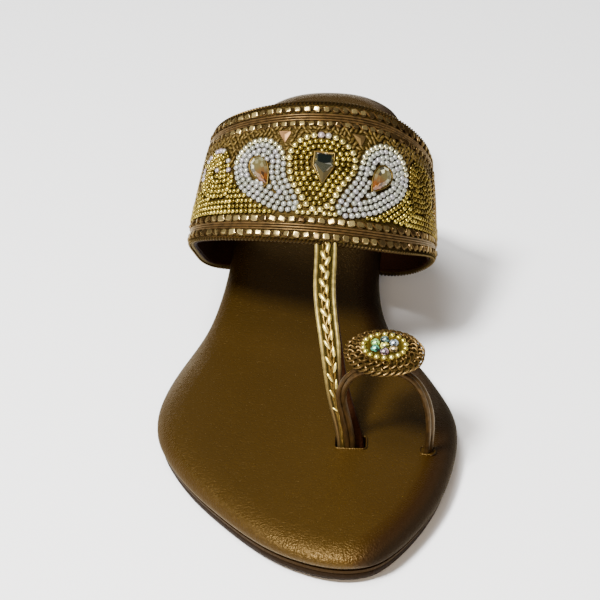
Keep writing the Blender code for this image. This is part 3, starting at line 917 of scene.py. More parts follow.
def outsole():
    made = sole_layer("outsole_rubber", OUTSOLE_RINGS, toe_lift, outsole_top, RUBBER)
    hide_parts("outsole")


# ---------------------------------------------------------------- band: shell, lining, edges

BAND_STEPS = 221
BAND_COLUMNS = 29
BAND_PATH_STEPS = 420
FOLD_TURNS = (45.0, 90.0, 135.0)
LINING_INSET = 0.25


def band_layer(name, outer, inner, overhang, material):
    """One layer of the band between two depths below its outer surface, with rounded edges."""
    along = np.clip(np.linspace(0.0, 1.0, BAND_STEPS), BAND_REACH, 1 - BAND_REACH)
    widths = np.linspace(0.0, 1.0, BAND_COLUMNS)
    s = np.interp(along, BAND_SHARES, BAND_LENGTHS) - BAND_HALF
    columns = [band_frames(s, np.full(len(s), w)) for w in widths]
    surface = np.stack([places for places, _ in columns], axis=1)
    outward = np.stack([axes[:, 2] for _, axes in columns], axis=1)
    wide = unit(surface[:, -1] - surface[:, 0])
    middle, half = (outer + inner) / 2, (inner - outer) / 2
    over = surface - outward * outer
    under = (surface - outward * inner)[:, ::-1]
    folds = []
    for edge, way in ((-1, 1.0), (0, -1.0)):
        for turn in FOLD_TURNS:
            angle = math.radians(turn)
            depth = middle - half * math.cos(angle)
            reach = half * math.sin(angle) + overhang
            folds.append(surface[:, edge] - outward[:, edge] * depth + wide * way * reach)
    count = len(FOLD_TURNS)
    front = np.stack(folds[:count], axis=1)
    back = np.stack(folds[count:][::-1], axis=1)
    sections = np.concatenate([over, front, under, back], axis=1)
    return loft(name, sections, material, BAND_SMOOTH)


def band_shell():
    made = band_layer("band_ground", 0.0, BAND_WALL - LINING_THICK, 0.0, GROUND)
    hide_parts("upper")
    band_layer("band_lining", BAND_WALL - LINING_THICK, BAND_WALL, -LINING_INSET, MAROON)


def band_path(w, lift, count=BAND_PATH_STEPS, beyond=0.0):
    """A path along the band at a share across it, pushed past its edge by a distance."""
    s = np.linspace(BAND_START, BAND_END, count)
    places, axes = band_frames(s, np.full(count, float(w)), lift)
    return places + axes[:, 1] * beyond, axes


RIM_CORDS = (
    # share across, distance beyond the edge, depth below the outer face, radius, name, look
    (0.0, -0.3, 1.5, 0.62, "back_rim_piping", PIPING),
    (1.0, 0.25, 1.7, 0.3, "front_rim_cord", MAROON),
)
TWIST_LIFT = -0.1
TWIST_BEYOND = 0.25
TWIST_PITCH = 2.4
TWIST_SWING = 0.36
TWIST_RADIUS = 0.36
TWIST_STEPS = 1500


def band_edges():
    """A cord at the inside of each edge, and a two-strand twist outside each."""
    for w, beyond, depth, radius, name, look in RIM_CORDS:
        path, axes = band_path(w, -depth, beyond=beyond)
        tubes(name, [(path, axes[:, 1])], radius, look, sides=12)
    lines = []
    for w, way in ((0.0, -1.0), (1.0, 1.0)):
        path, axes = band_path(w, TWIST_LIFT, TWIST_STEPS, way * TWIST_BEYOND)
        turns = path_lengths(path) / TWIST_PITCH
        for strand in (0.0, 0.5):
            swing = turned(axes[:, 1], axes[:, 2], 2 * PI * (turns + strand))
            lines.append((path + swing * TWIST_SWING, axes[:, 2]))
    tubes("band_edge_twist", lines, TWIST_RADIUS, RIM_WIRE, sides=6)


# ---------------------------------------------------------------- band: straight rows

GIMP_ROWS = (
    # name, share across, half a block along, half a block across, pitch
    ("back", 0.045, 0.98, 0.78, 2.95),
    ("back_field", 0.155, 0.92, 0.76, 2.8),
    ("front_field", 0.857, 1.16, 0.86, 3.0),
    ("front", 0.963, 1.06, 0.86, 3.0),
)
# Painted shade on the gimp blocks: their tints darken towards both sides of the band
ROW_PAINTED_LIGHT = (
    # distance along the band, painted light of the blocks, 0 for full painted shade
    (-40.0, 0.0), (-33.0, 0.3), (-28.0, 1.0), (12.0, 0.9), (20.0, 0.2), (34.0, 0.0),
)
GIMP_SWING = 1.0
GIMP_WIRE = 0.24
GIMP_TILT = 10.0
GIMP_STEPS = 3000
GIMP_STRIDE = 3
GIMP_LIFT = 0.45
BLOCK_SPREAD = (0.88, 1.05)
BLOCK_HEIGHT = 0.5
COUCHED_CORDS = (0.083, 0.1025, 0.122, 0.892, 0.911, 0.930)
COUCHED_RADIUS = 0.33
COUCHED_LIFT = 0.75  # as a share of a cord's radius


def gimp_rows():
    """Metal gimp: shining blocks, each in an eye between two crossing wires."""
    for name, w, along, over, pitch in GIMP_ROWS:
        path, axes = band_path(w, GIMP_LIFT, GIMP_STEPS)
        chosen = even_places(path, pitch)
        sizes = np.array([along, over, BLOCK_HEIGHT]) * RANDOM.uniform(*BLOCK_SPREAD, (len(chosen), 3))
        frames = tilted(axes[chosen], GIMP_TILT)
        along_band = np.linspace(BAND_START, BAND_END, len(path))[chosen]
        painted_light = np.interp(along_band, *zip(*ROW_PAINTED_LIGHT))
        scatter(f"{name}_blocks", BLOCK, path[chosen], frames, sizes, BRASS, painted_light)
        phase = (PI * path_lengths(path) * len(chosen) / path_lengths(path)[-1])[:, None]
        lines = []
        for way in (-1.0, 1.0):
            swing = axes[:, 1] * np.sin(phase) * GIMP_SWING * way
            rise = axes[:, 2] * np.cos(phase) * GIMP_WIRE * way
            lines.append(((path + swing + rise)[::GIMP_STRIDE], axes[::GIMP_STRIDE, 2]))
        tubes(f"{name}_gimp_wires", lines, GIMP_WIRE, GIMP_LOOK, sides=5)


def couched_cords():
    """Plain cords laid side by side along both edges."""
    lines = []
    for w in COUCHED_CORDS:
        path, axes = band_path(w, COUCHED_RADIUS * COUCHED_LIFT)
        lines.append((path, axes[:, 1]))
    tubes("couched_cords", lines, COUCHED_RADIUS, COUCHED)


# ---------------------------------------------------------------- band: bead figures

CENTRE_S = 1.9  # of the pattern's centre, along the band's chart
CENTRE_FIGURE = (
    # distance from the band's pattern centre, share across
    (0.2, 0.222), (4.6, 0.236), (8.4, 0.285), (10.8, 0.355), (11.2, 0.43), (10.1, 0.51),
    (7.6, 0.58), (5.3, 0.645), (4.0, 0.705), (1.7, 0.765), (-1.9, 0.805), (-5.0, 0.775),
    (-7.0, 0.705), (-8.8, 0.635), (-10.2, 0.56), (-10.6, 0.47), (-10.5, 0.385), (-8.6, 0.30),
    (-4.8, 0.243),
)
PAISLEYS = {
    # crystal: distance from the band's pattern centre, share across
    "lateral_crystal": (
        (-29.0, 0.42), (-28.5, 0.52), (-26.6, 0.62), (-23.8, 0.68), (-19.9, 0.735),
        (-15.6, 0.785), (-10.8, 0.81), (-7.3, 0.78), (-7.7, 0.69), (-9.6, 0.60), (-11.0, 0.51),
        (-10.7, 0.43), (-11.3, 0.365), (-13.3, 0.30), (-16.2, 0.255), (-19.6, 0.243),
        (-23.3, 0.262), (-26.8, 0.32),
    ),
    "medial_crystal": (
        (30.0, 0.42), (29.6, 0.50), (28.0, 0.58), (25.6, 0.645), (22.6, 0.69), (19.2, 0.74),
        (15.0, 0.785), (9.8, 0.815), (5.2, 0.82), (3.4, 0.775), (4.3, 0.71), (6.0, 0.645),
        (8.4, 0.58), (10.7, 0.51), (11.9, 0.43), (13.2, 0.355), (15.8, 0.295), (19.0, 0.255),
        (22.6, 0.240), (26.2, 0.262), (28.9, 0.33),
    ),
}
OUTER_FIGURE = (
    # distance from the band's pattern centre, share across
    (30.9, 0.42), (31.6, 0.35), (33.6, 0.288), (36.8, 0.262), (40.2, 0.275), (43.4, 0.32),
    (45.4, 0.40), (45.6, 0.50), (44.0, 0.60), (40.6, 0.665), (35.8, 0.69), (31.2, 0.675),
    (30.2, 0.60), (30.4, 0.50),
)
FIGURE_STEPS = 240
BAND_CRYSTALS = {
    # name: offset along, share across, turn in degrees
    "kite_crystal": (2.4, 0.465, 3.0),
    "lateral_crystal": (-17.1, 0.505, -32.0),
    "medial_crystal": (20.3, 0.52, 37.0),
}
KITE_OUTLINE = (
    # along, across
    (-2.9, -4.1), (2.9, -4.1), (3.0, 0.3), (0.0, 6.0), (-3.0, 0.3),
)
DROP_LENGTH = 10.2
DROP_WIDTH = 5.6
DROP_BELLY = 1.3  # makes a drop's widest place its full width
DROP_POINTS = 32
DROP_STEPS = 60
GOLD_PITCH = 1.76
GOLD_RADIUS = 0.88
PEARL_PITCH = 1.8
PEARL_RADIUS = 0.91
SILVER_PITCH = 2.3
SILVER_RADIUS = 1.08
SET_BEADS = []  # chart points of every bead set so far
BEAD_SQUASH = 0.86
BEAD_LIFT = 0.62  # of a bead's middle, as a share of its radius
BEAD_CLEAR = 0.84  # least distance between two beads, as a share of their pitch
BEAD_SPREAD = (0.94, 1.05)
BEAD_TILT = 6.0
FOLD_SLACK = 0.06
GAP_STEP = 0.15
GAP_EDGE = 0.7


def figure_outline(points, way=1.0):
    """A closed outline on the chart in millimetres, traced so that its inside is to the left."""
    corners = [(way * offset, share * BAND_WIDTH) for offset, share in points]
    path = spline(corners, np.linspace(0.0, 1.0, FIGURE_STEPS + 1), closed=True)[:-1]
    area = np.sum(path[:, 0] * np.roll(path[:, 1], -1) - path[:, 1] * np.roll(path[:, 0], -1))
    return path if area > 0 else path[::-1]


def inset_runs(outline, distance):
    """Stretches of the path at an even distance inside an outline, cut where they would fold."""
    run = unit(np.roll(outline, -1, axis=0) - np.roll(outline, 1, axis=0))
    path = outline + np.column_stack([-run[:, 1], run[:, 0]]) * distance
    gaps = np.linalg.norm(path[:, None] - outline[None], axis=2).min(axis=1)
    kept = gaps > abs(distance) - FOLD_SLACK
    if kept.all():
        return [np.vstack([path, path[:1]])]
    if not kept.any():
        return []
    start = int(np.flatnonzero(~kept)[0])
    path, kept = np.roll(path, -start, axis=0), np.roll(kept, -start)
    breaks = np.flatnonzero(np.diff(kept.astype(int)))
    stretches = np.split(np.arange(len(path)), breaks + 1)
    return [path[stretch] for stretch in stretches if kept[stretch[0]] and len(stretch) > 1]


def inside(outline, points):
    """Whether chart points lie inside a closed outline."""
    x, y = points[:, 0][:, None], points[:, 1][:, None]
    x0, y0 = outline[:, 0][None], outline[:, 1][None]
    x1, y1 = np.roll(outline[:, 0], -1)[None], np.roll(outline[:, 1], -1)[None]
    crosses = (y0 > y) != (y1 > y)
    with np.errstate(divide="ignore", invalid="ignore"):
        hits = crosses & (x < (x1 - x0) * (y - y0) / (y1 - y0) + x0)
    return hits.sum(axis=1) % 2 == 1


def ring_beads(outline, pitch, first, rings, keep_out=None, taken=None):
    """Beads in rings inside an outline: chart points and the number of each one's ring.

    first is how far in the outermost ring lies. Beads too close to those in taken are left out.
    """
    places, numbers = [], []
    taken = [] if taken is None else taken
    for number in range(rings):
        for path in inset_runs(outline, first + pitch * number):
            lengths = path_lengths(path)
            if np.allclose(path[0], path[-1]):
                count = max(1, int(round(lengths[-1] / pitch)))
                wanted = np.arange(count) * lengths[-1] / count
            else:
                wanted = np.linspace(0.0, lengths[-1], max(1, int(lengths[-1] / pitch) + 1))
            beads = np.column_stack([np.interp(wanted, lengths, path[:, k]) for k in range(2)])
            if keep_out is not None:
                beads = beads[~inside(keep_out, beads)]
            for bead in beads:
                if all(np.hypot(*(bead - other)) > BEAD_CLEAR * pitch for other in taken):
                    taken.append(bead)
                    places.append(bead)
                    numbers.append(number)
    return np.array(places), np.array(numbers)


def gap_beads(outline, keep_out, taken, clear):
    """Beads in the gaps that rings leave inside an outline."""
    limits = zip(outline.min(0), outline.max(0))
    spans = [np.arange(low, high, GAP_STEP) for low, high in limits]
    spots = np.stack(np.meshgrid(*spans), axis=-1).reshape(-1, 2)
    spots = spots[inside(outline, spots) & ~inside(keep_out, spots)]
    from_edge = np.linalg.norm(spots[:, None] - outline[None], axis=2).min(axis=1)
    spots = spots[from_edge > GAP_EDGE]
    for bead in taken:
        spots = spots[np.hypot(*(spots - bead).T) > clear]
    places = []
    while len(spots):
        places.append(spots[0])
        taken.append(spots[0])
        spots = spots[np.hypot(*(spots - places[-1]).T) > clear]
    return np.array(places).reshape(-1, 2)


def on_band(chart, lift):
    """Chart points around the pattern's centre as places and axes on the band."""
    return band_frames(chart[:, 0] + CENTRE_S, chart[:, 1] / BAND_WIDTH, lift)


def set_beads(name, chart, radius, material):
    """Round beads at chart points, each a little larger or smaller than the next."""
    SET_BEADS.append(chart)
    places, axes = on_band(chart, radius * BEAD_LIFT)
    grown = radius * RANDOM.uniform(*BEAD_SPREAD, (len(chart), 1))
    sizes = grown * np.array([1.0, 1.0, BEAD_SQUASH])
    scatter(name, BEAD, places, tilted(axes, BEAD_TILT), sizes, material)


def drop_outline(points):
    """A drop with its point towards the toe."""
    angles = 2 * PI * np.arange(points) / points
    belly = DROP_BELLY * np.sin(angles) * np.sin(angles / 2)
    return np.column_stack([DROP_WIDTH / 2 * belly, DROP_LENGTH / 2 * np.cos(angles)])


def about_crystal(name, points):
    """Points about a crystal's middle as distances along and across the band."""
    turn = math.radians(BAND_CRYSTALS[name][2])
    along = points[:, 0] * math.cos(turn) - points[:, 1] * math.sin(turn)
    down = points[:, 0] * math.sin(turn) + points[:, 1] * math.cos(turn)
    return along, down


def crystal_outline(name, margin):
    """The outline of a crystal on the chart, about the pattern's centre, grown by a margin."""
    offset, share, _ = BAND_CRYSTALS[name]
    if name == "kite_crystal":
        path = np.array(KITE_OUTLINE)
    else:
        steps = np.linspace(0.0, 1.0, DROP_STEPS + 1)
        path = spline(drop_outline(DROP_POINTS), steps, closed=True)[:-1]
    grown = path * (1.0 + margin / np.linalg.norm(path, axis=1, keepdims=True))
    along, down = about_crystal(name, grown)
    return np.column_stack([along + offset - CENTRE_S, down + share * BAND_WIDTH])


CENTRE_RING_INSET = 0.9
CENTRE_GOLD_INSET = 1.2
CENTRE_GOLD_START = 1.6
CENTRE_NEAR_RING = 3
CENTRE_SMALL_RADIUS = 0.7
CENTRE_SMALL_CLEAR = 1.5
KITE_MARGIN = 0.85
FIGURE_RINGS = 6
CENTRE_TOP = (0.8, 2.6, 0.26)  # middle, half width and share across of the lavender beads' place


def centre_figure():
    """A silver ring with two lavender beads at its top, and gold beads round the kite."""
    outline, taken = figure_outline(CENTRE_FIGURE), []
    silver, _ = ring_beads(outline, SILVER_PITCH, CENTRE_RING_INSET, 1, taken=taken)
    middle, half, share = CENTRE_TOP
    top = (silver[:, 1] < share * BAND_WIDTH) & (np.abs(silver[:, 0] - middle) < half)
    set_beads("centre_ring", silver[~top], SILVER_RADIUS, SILVER)
    set_beads("centre_pearls", silver[top], SILVER_RADIUS, LAVENDER)
    keep_out = crystal_outline("kite_crystal", KITE_MARGIN)
    inner = inset_runs(outline, CENTRE_GOLD_INSET)[0][:-1]
    gold, rings = ring_beads(inner, GOLD_PITCH, CENTRE_GOLD_START, FIGURE_RINGS, keep_out, taken)
    near = rings >= CENTRE_NEAR_RING
    small = gap_beads(inner, keep_out, taken, CENTRE_SMALL_CLEAR)
    set_beads("centre_gold", gold[~near], GOLD_RADIUS, GOLD)
    set_beads("centre_bronze", gold[near], GOLD_RADIUS, GOLD)
    set_beads("centre_small", small, CENTRE_SMALL_RADIUS, GOLD)


BORDER_PITCH = 1.95
BORDER_RADIUS = 0.98
BORDER_INSET = 0.85
BORDER_SHARE = 0.45  # nearer the back edge than this, the border is silver
PEARL_START = 2.6
PEARL_CLEAR = 1.55
DROP_MARGIN = 0.95


def paisleys():
    """Pearls round the two drops, inside a border that is silver at its top."""
    silver, white = [], []
    for name, points in PAISLEYS.items():
        outline, taken = figure_outline(points), []
        border, _ = ring_beads(outline, BORDER_PITCH, BORDER_INSET, 1, taken=taken)
        topmost = border[:, 1] < BORDER_SHARE * BAND_WIDTH
        silver.append(border[topmost])
        white.append(border[~topmost])
        keep_out = crystal_outline(name, DROP_MARGIN)
        pearls, _ = ring_beads(outline, PEARL_PITCH, PEARL_START, FIGURE_RINGS, keep_out, taken)
        white += [pearls, gap_beads(outline, keep_out, taken, PEARL_CLEAR)]
    set_beads("paisley_border", np.vstack(silver), BORDER_RADIUS, PALE_SILVER)
    set_beads("paisley_pearls", np.vstack(white), PEARL_RADIUS, PEARL)


HEART = np.array([-37.5, 0.46 * BAND_WIDTH])
HEART_RADIUS = 1.9
LAVENDER_CHANCE = 0.75
OUTER_RINGS = 5


def outer_figures():
    """Gold figures outside the paisleys, the lateral one with lavender beads at rim and heart, the medial
    one in a darker gold that paints shade.
    """
    lavender = []
    # the medial figure takes the darker gold, painted shade
    for way, side, look in ((-1.0, "lateral", GOLD), (1.0, "medial", SHADED_GOLD)):
        outline = figure_outline(OUTER_FIGURE, way)
        beads, rings = ring_beads(outline, GOLD_PITCH, BORDER_INSET, OUTER_RINGS)
        outer = (rings == 0) & (beads[:, 1] < 0.5 * BAND_WIDTH) & (way < 0)
        outer &= RANDOM.random(len(beads)) < LAVENDER_CHANCE
        heart = (np.hypot(*(beads - HEART).T) < HEART_RADIUS) & (way < 0)
        lavender.append(beads[outer | heart])
        set_beads(f"outer_{side}_gold", beads[~(outer | heart)], GOLD_RADIUS, look)
    set_beads("outer_pearls", np.vstack(lavender), GOLD_RADIUS, LAVENDER)


# Straight rows: share across the band, and how far each reaches to both sides
FILL_SHARES = (0.805, 0.765, 0.725, 0.685, 0.645, 0.605, 0.565, 0.525)
FILL_GOLD = (61.0, 61.0, 61.0, 54.0, 48.5, 47.5, 31.0, 30.8)
FILL_SILVER = 13.0  # nearer the centre than this, the beads are silver
FILL_SHADED = 36.0  # past this on the big-toe side, the beads take the darker gold, painted shade
FILL_CLEAR = 1.5
FILL_STEP = 0.12
FILL_RADIUS = 0.81
FILL_SILVER_RADIUS = 0.8
CURVED_START = 17.0
CURVED_ROWS = (0.95, 2.7, 4.45, 6.2)  # distances outside the big-toe side's paisley


def fill_rows():
    """Rows of beads round the big-toe side's paisley, and straight ones in what is left."""
    outlines = [figure_outline(points) for points in PAISLEYS.values()]
    rows = [run for out in CURVED_ROWS for run in inset_runs(outlines[1], -out)]
    rows = [row[(row[:, 0] > CURVED_START) & (row[:, 1] > 0.5 * BAND_WIDTH)] for row in rows]
    rows = [row[row[:, 1] < FILL_SHARES[0] * BAND_WIDTH] for row in rows]
    for share, far in zip(FILL_SHARES, FILL_GOLD):
        offsets = np.arange(-far, far, FILL_STEP)
        rows.append(np.column_stack([offsets, np.full(len(offsets), share * BAND_WIDTH)]))
    taken = np.vstack(SET_BEADS)
    set_before = len(taken)
    for row in rows:
        for bead in row[~inside(outlines[0], row) & ~inside(outlines[1], row)]:
            if np.hypot(*(taken - bead).T).min() > FILL_CLEAR:
                taken = np.vstack([taken, bead])
    beads = taken[set_before:]
    # beads far out on the big-toe side take the darker gold, painted shade
    near, in_shade = np.abs(beads[:, 0]) < FILL_SILVER, beads[:, 0] > FILL_SHADED
    set_beads("fill_silver", beads[near], FILL_SILVER_RADIUS, SILVER)
    set_beads("fill_gold", beads[~near & ~in_shade], FILL_RADIUS, GOLD)
    set_beads("fill_shaded_gold", beads[in_shade], FILL_RADIUS, SHADED_GOLD)


TRIANGLES = (
    # name, offset along the band, share across at its flat side, look
    ("lateral_triangle_stud", -9.6, 0.203, ROSE),
    ("medial_triangle_stud", 14.8, 0.212, BRONZE_STUD),
)
TRIANGLE_HALF = 2.3
TRIANGLE_DEEP = 4.0
TRIANGLE_RINGS = (
    # share of the outline, height above the band
    (1.0, -0.1), (1.0, 0.35), (0.05, 0.65),
)
GROUND_ROWS = np.arange(0.185, 0.83, 0.031)
GROUND_REACH = 47.0
GROUND_PITCH = 1.55
GROUND_CLEAR = 1.25
GROUND_STRAY = 0.25
GROUND_TILT = 8.0
GROUND_LIFT = 0.3
GROUND_MARGIN = 0.9
GROUND_LEAN = 50.0
GROUND_LEAN_STRAY = 14.0
GROUND_BUGLE = (1.05, 0.5, 0.42)
GROUND_BALL = (8, 6)  # faces round a bugle and from pole to pole


def ground_bugles():
    """Small dull bugle beads over the ground that shows between the figures."""
    taken, places = np.vstack(SET_BEADS), []
    for number, share in enumerate(GROUND_ROWS):
        for offset in np.arange(-GROUND_REACH, GROUND_REACH, GROUND_PITCH):
            place = np.array([offset + GROUND_PITCH / 2 * (number % 2), share * BAND_WIDTH])
            if np.hypot(*(taken - place).T).min() > GROUND_CLEAR:
                places.append(place)
    places = np.array(places)
    for name in BAND_CRYSTALS:
        places = places[~inside(crystal_outline(name, GROUND_MARGIN), places)]
    for _, offset, share, _ in TRIANGLES:
        middle = np.array([offset - CENTRE_S, share * BAND_WIDTH + TRIANGLE_DEEP / 3])
        places = places[np.hypot(*(places - middle).T) > TRIANGLE_HALF]
    places += RANDOM.uniform(-GROUND_STRAY, GROUND_STRAY, places.shape)
    spots, axes = on_band(places, GROUND_LIFT)
    lean = RANDOM.choice((-GROUND_LEAN, GROUND_LEAN), len(spots))
    lean = np.radians(lean + RANDOM.uniform(-GROUND_LEAN_STRAY, GROUND_LEAN_STRAY, len(spots)))
    axes = tilted(leaned(axes, lean), GROUND_TILT)
    scatter("ground_bugles", ball_template(*GROUND_BALL), spots, axes, GROUND_BUGLE, OLIVE)


SIDE_NEAR = 47.6
SIDE_FAR = 98.0
SIDE_PITCH = 2.05
SIDE_LEAN = 36.0
SIDE_TOP = 0.2
SIDE_ENDS = (0.70, 0.80)  # share across that a column ends at, beside the gold rows and past them
SIDE_BUGLE = (1.16, 0.66, 0.6)
SIDE_BALL = (10, 7)
SIDE_BUGLE_PITCH = 1.5
SIDE_LIFT = 0.42
SIDE_TILT = 7.0
SIDE_STEPS = 400


def side_columns():
    """Columns of small bugle beads from the figures down to the sole, leaning in turns."""
    columns = int((SIDE_FAR - SIDE_NEAR) / SIDE_PITCH)
    # the medial columns take a darker copper than the lateral ones: copper-bronze beads, darkened further
    # as painted shade
    for way, side, look in ((-1.0, "lateral", PALE_BRASS), (1.0, "medial", COPPER)):
        places, found = [], []
        for column in range(columns):
            offset = SIDE_NEAR + SIDE_PITCH * (column + 0.5)
            far = offset > FILL_GOLD[0] + 1.0
            w = np.linspace(SIDE_TOP, SIDE_ENDS[far], SIDE_STEPS)
            path, axes = band_frames(np.full(SIDE_STEPS, way * offset + CENTRE_S), w, SIDE_LIFT)
            chosen = even_places(path, SIDE_BUGLE_PITCH)
            lean = math.radians(SIDE_LEAN if column % 2 else -SIDE_LEAN)
            places.append(path[chosen])
            found.append(leaned(axes[chosen], lean))
        axes, bugle = tilted(np.vstack(found), SIDE_TILT), ball_template(*SIDE_BALL)
        name = f"{side}_side_bugles"
        scatter(name, bugle, np.vstack(places), axes, SIDE_BUGLE, look)


def triangle_studs():
    """Small pyramid studs that point to the front edge."""
    corners = np.array([(-TRIANGLE_HALF, 0.0), (TRIANGLE_HALF, 0.0), (0.0, TRIANGLE_DEEP)])
    middle = corners.mean(axis=0)
    for name, offset, share, look in TRIANGLES:
        stack = []
        for scale, lift in TRIANGLE_RINGS:
            ring = middle + (corners - middle) * scale
            places, _ = band_frames(offset + ring[:, 0], share + ring[:, 1] / BAND_WIDTH, lift)
            stack.append(places)
        facet_body(name, stack, look)


# ---------------------------------------------------------------- band: crystals

KITE_CROWN = (
    # along, across
    (-2.5, -3.6), (2.5, -3.6), (2.5, 0.0), (0.1, 2.8), (-2.5, 0.0),
)
KITE_TABLE = (
    # along, across
    (-2.1, -2.9), (2.1, -2.9), (1.9, -0.5), (0.1, -0.1), (-1.9, -0.5),
)
KITE_RINGS = (
    # points, share of their size, height above its back
    (KITE_OUTLINE, 0.9, 0.0), (KITE_OUTLINE, 1.0, 0.7), (KITE_CROWN, 1.0, 1.55), (KITE_TABLE, 1.0, 2.1),
)
DROP_RINGS = (
    # height above its back, share of the outline
    (0.0, 0.86), (0.75, 1.0), (1.55, 0.74), (2.05, 0.42),
)
DROP_CORNERS = 12
DROP_MIX = (5, 2)  # steps through the glasses from corner to corner and ring to ring
# Facets in turn: amber and honey glass, with dark ones and bright ones as painted reflection and painted
# glints
DROP_GLASSES = [
    AMBER_GLASS,
    HONEY_GLASS,
    SHADED_FACET_GLASS,
    AMBER_GLASS,
    PAINTED_GLINT_GLASS,
    HONEY_GLASS,
    AMBER_GLASS,
]
# Painted reflection: the table and upper facets take dark and grey glass, the lower facets tan foil-backed
# glass
KITE_GLASSES = [DARK_GLASS, GREY_GLASS, TAN_GLASS]
KITE_FACETS = (
    # glass of each facet, ring by ring
    (2, 2, 2, 2, 2), (1, 1, 2, 2, 1), (0, 1, 1, 1, 1),
)
BEZEL_RADIUS = 0.26
CRYSTAL_LIFT = 0.3
BEZEL_LIFT = 0.85
KITE_BEZEL = 1.05  # size of the rim against its stone's outline
DROP_BEZEL = 1.06
BEZEL_POINTS = 48


def crystal_places(name, points, lift):
    """Places on the band of points about a crystal's middle, along and across it."""
    offset, share, _ = BAND_CRYSTALS[name]
    centre, axes = band_frames([offset], [share])
    along, down = about_crystal(name, np.asarray(points, float))
    flat = centre[0] + along[:, None] * axes[0, 0] + down[:, None] * axes[0, 1]
    return flat + axes[0, 2] * lift


def kite_crystal():
    name, stack = "kite_crystal", []
    for points, share, height in KITE_RINGS:
        stack.append(crystal_places(name, np.multiply(points, share), height + CRYSTAL_LIFT))

    def facet(row, corner):
        return KITE_FACETS[row][corner]

    made = facet_body("kite_stone", stack, KITE_GLASSES, facet)
    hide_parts(name)


def drop_crystals():
    outline = drop_outline(DROP_CORNERS)

    def facet(row, corner):
        return (corner * DROP_MIX[0] + row * DROP_MIX[1]) % len(DROP_GLASSES)

    for name in ("lateral_crystal", "medial_crystal"):
        stack, tints = [], []
        for height, scale in DROP_RINGS:
            stack.append(crystal_places(name, outline * scale, height + CRYSTAL_LIFT))
            tints += (0.5 - outline[:, 1] * scale / DROP_LENGTH).tolist()
        made = facet_body(f"{name}_stone", stack, DROP_GLASSES, facet, tints)
        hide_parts(name)


def bezels():
    """Thin metal rims around the three crystals."""
    lines = []
    for name, (offset, _, _) in BAND_CRYSTALS.items():
        if name == "kite_crystal":
            rim = np.multiply(KITE_OUTLINE, KITE_BEZEL)
        else:
            rim = drop_outline(BEZEL_POINTS) * DROP_BEZEL
        path = crystal_places(name, rim, BEZEL_LIFT)
        outward = band_frames([offset], [0.5])[1][0, 2]
        lines.append((np.vstack([path, path[:1]]), outward))
    tubes("crystal_bezels", lines, BEZEL_RADIUS, BRONZE_WIRE)


# ---------------------------------------------------------------- T-strap

STRAP_STATIONS = 90
STRAP_EDGE_POINTS = 9
TAPE_START = 7
TAPE_STEPS = 700
TAPE_EDGE_RADIUS = 0.62
TAPE_EDGE_IN = 0.75  # from the strap's edge to the first piping's middle, in its radii
TAPE_EDGES_WIDE = 1.8  # the tape's width less the space between their middles, in radii
TAPE_WIDTH = (
    # height above the floor, width of the decorated tape
    (4.0, 2.8), (12.0, 3.4), (24.0, 4.8), (34.0, 5.9), (46.0, 6.5), (60.0, 6.8),
)
BRAID_PITCH = 14.4
BRAID_HALF = 0.9
BRAID_RISE = 0.2
BRAID_RADIUS = 0.56
BRAID_LIFT = 0.25
LINK_LIFT = 0.7
LINK_PITCH = 4.8
LINK_TILT = 5.0
LINK_RISE = 0.9  # half height of a link, as a share of its half width
BRAID_ROOM = 1.8  # half width between the pipings at which the braid swings fully
BRAID_LEAST = 0.35
BED_INSET = 0.2
BED_STEP = 7
LINK_COLUMNS = (
    # side of the middle, lean from the run in degrees, first place as a share of the pitch
    (-1.0, 27.0, 0.9),
    (1.0, -7.0, 0.35),
)
LINKS = (
    # height above the floor, offset from the middle, half length, half width
    (16.5, 0.5, 0.9, 0.30),
    (24.0, 0.75, 1.6, 0.42),
    (32.0, 0.9, 1.75, 0.50),
    (42.0, 0.72, 1.75, 0.66),
    (56.0, 0.64, 1.7, 0.76),
)
BED_CORNERS = (
    # side of the middle, height above the strap's face
    (-1.0, -0.6), (-1.0, 0.12), (1.0, 0.12), (1.0, -0.6),
)


def strap_lines():
    """Middle line, side and facing directions and width of the T-strap."""
    rows = spline(T_STRAP, np.linspace(0.0, 1.0, STRAP_STATIONS + 1))
    line, width = rows[:, :3], rows[:, 3]
    side, facing = path_axes(line, (0.0, 1.0, 0.0))
    return line, side, facing, width


def t_strap():
    line, side, facing, width = strap_lines()
    sections = []
    radius = T_STRAP_THICK / 2
    for k in range(len(line)):
        flat = width[k] / 2 - radius
        corners = []
        for centre, first in ((flat, -90.0), (-flat, 90.0)):
            for turn in np.linspace(0.0, 180.0, STRAP_EDGE_POINTS):
                angle = math.radians(first + turn)
                offset = centre + radius * math.cos(angle)
                corners.append(line[k] + side[k] * offset + facing[k] * radius * math.sin(angle))
        sections.append(corners)
    loft("t_strap_leather", sections, MAROON)


def tape_edges():
    """Middle lines of the tape's two piped edges, on the strap's outer face, and its axes."""
    line, side, facing, width = (values[TAPE_START:] for values in strap_lines())
    heights, widths = zip(*TAPE_WIDTH)
    tape = np.interp(line[:, 2], heights, widths)
    lateral = -width / 2 + TAPE_EDGE_RADIUS * TAPE_EDGE_IN
    medial = lateral + tape - TAPE_EDGE_RADIUS * TAPE_EDGES_WIDE
    face = facing * (T_STRAP_THICK / 2)
    return line + side * lateral[:, None] + face, line + side * medial[:, None] + face, side, facing


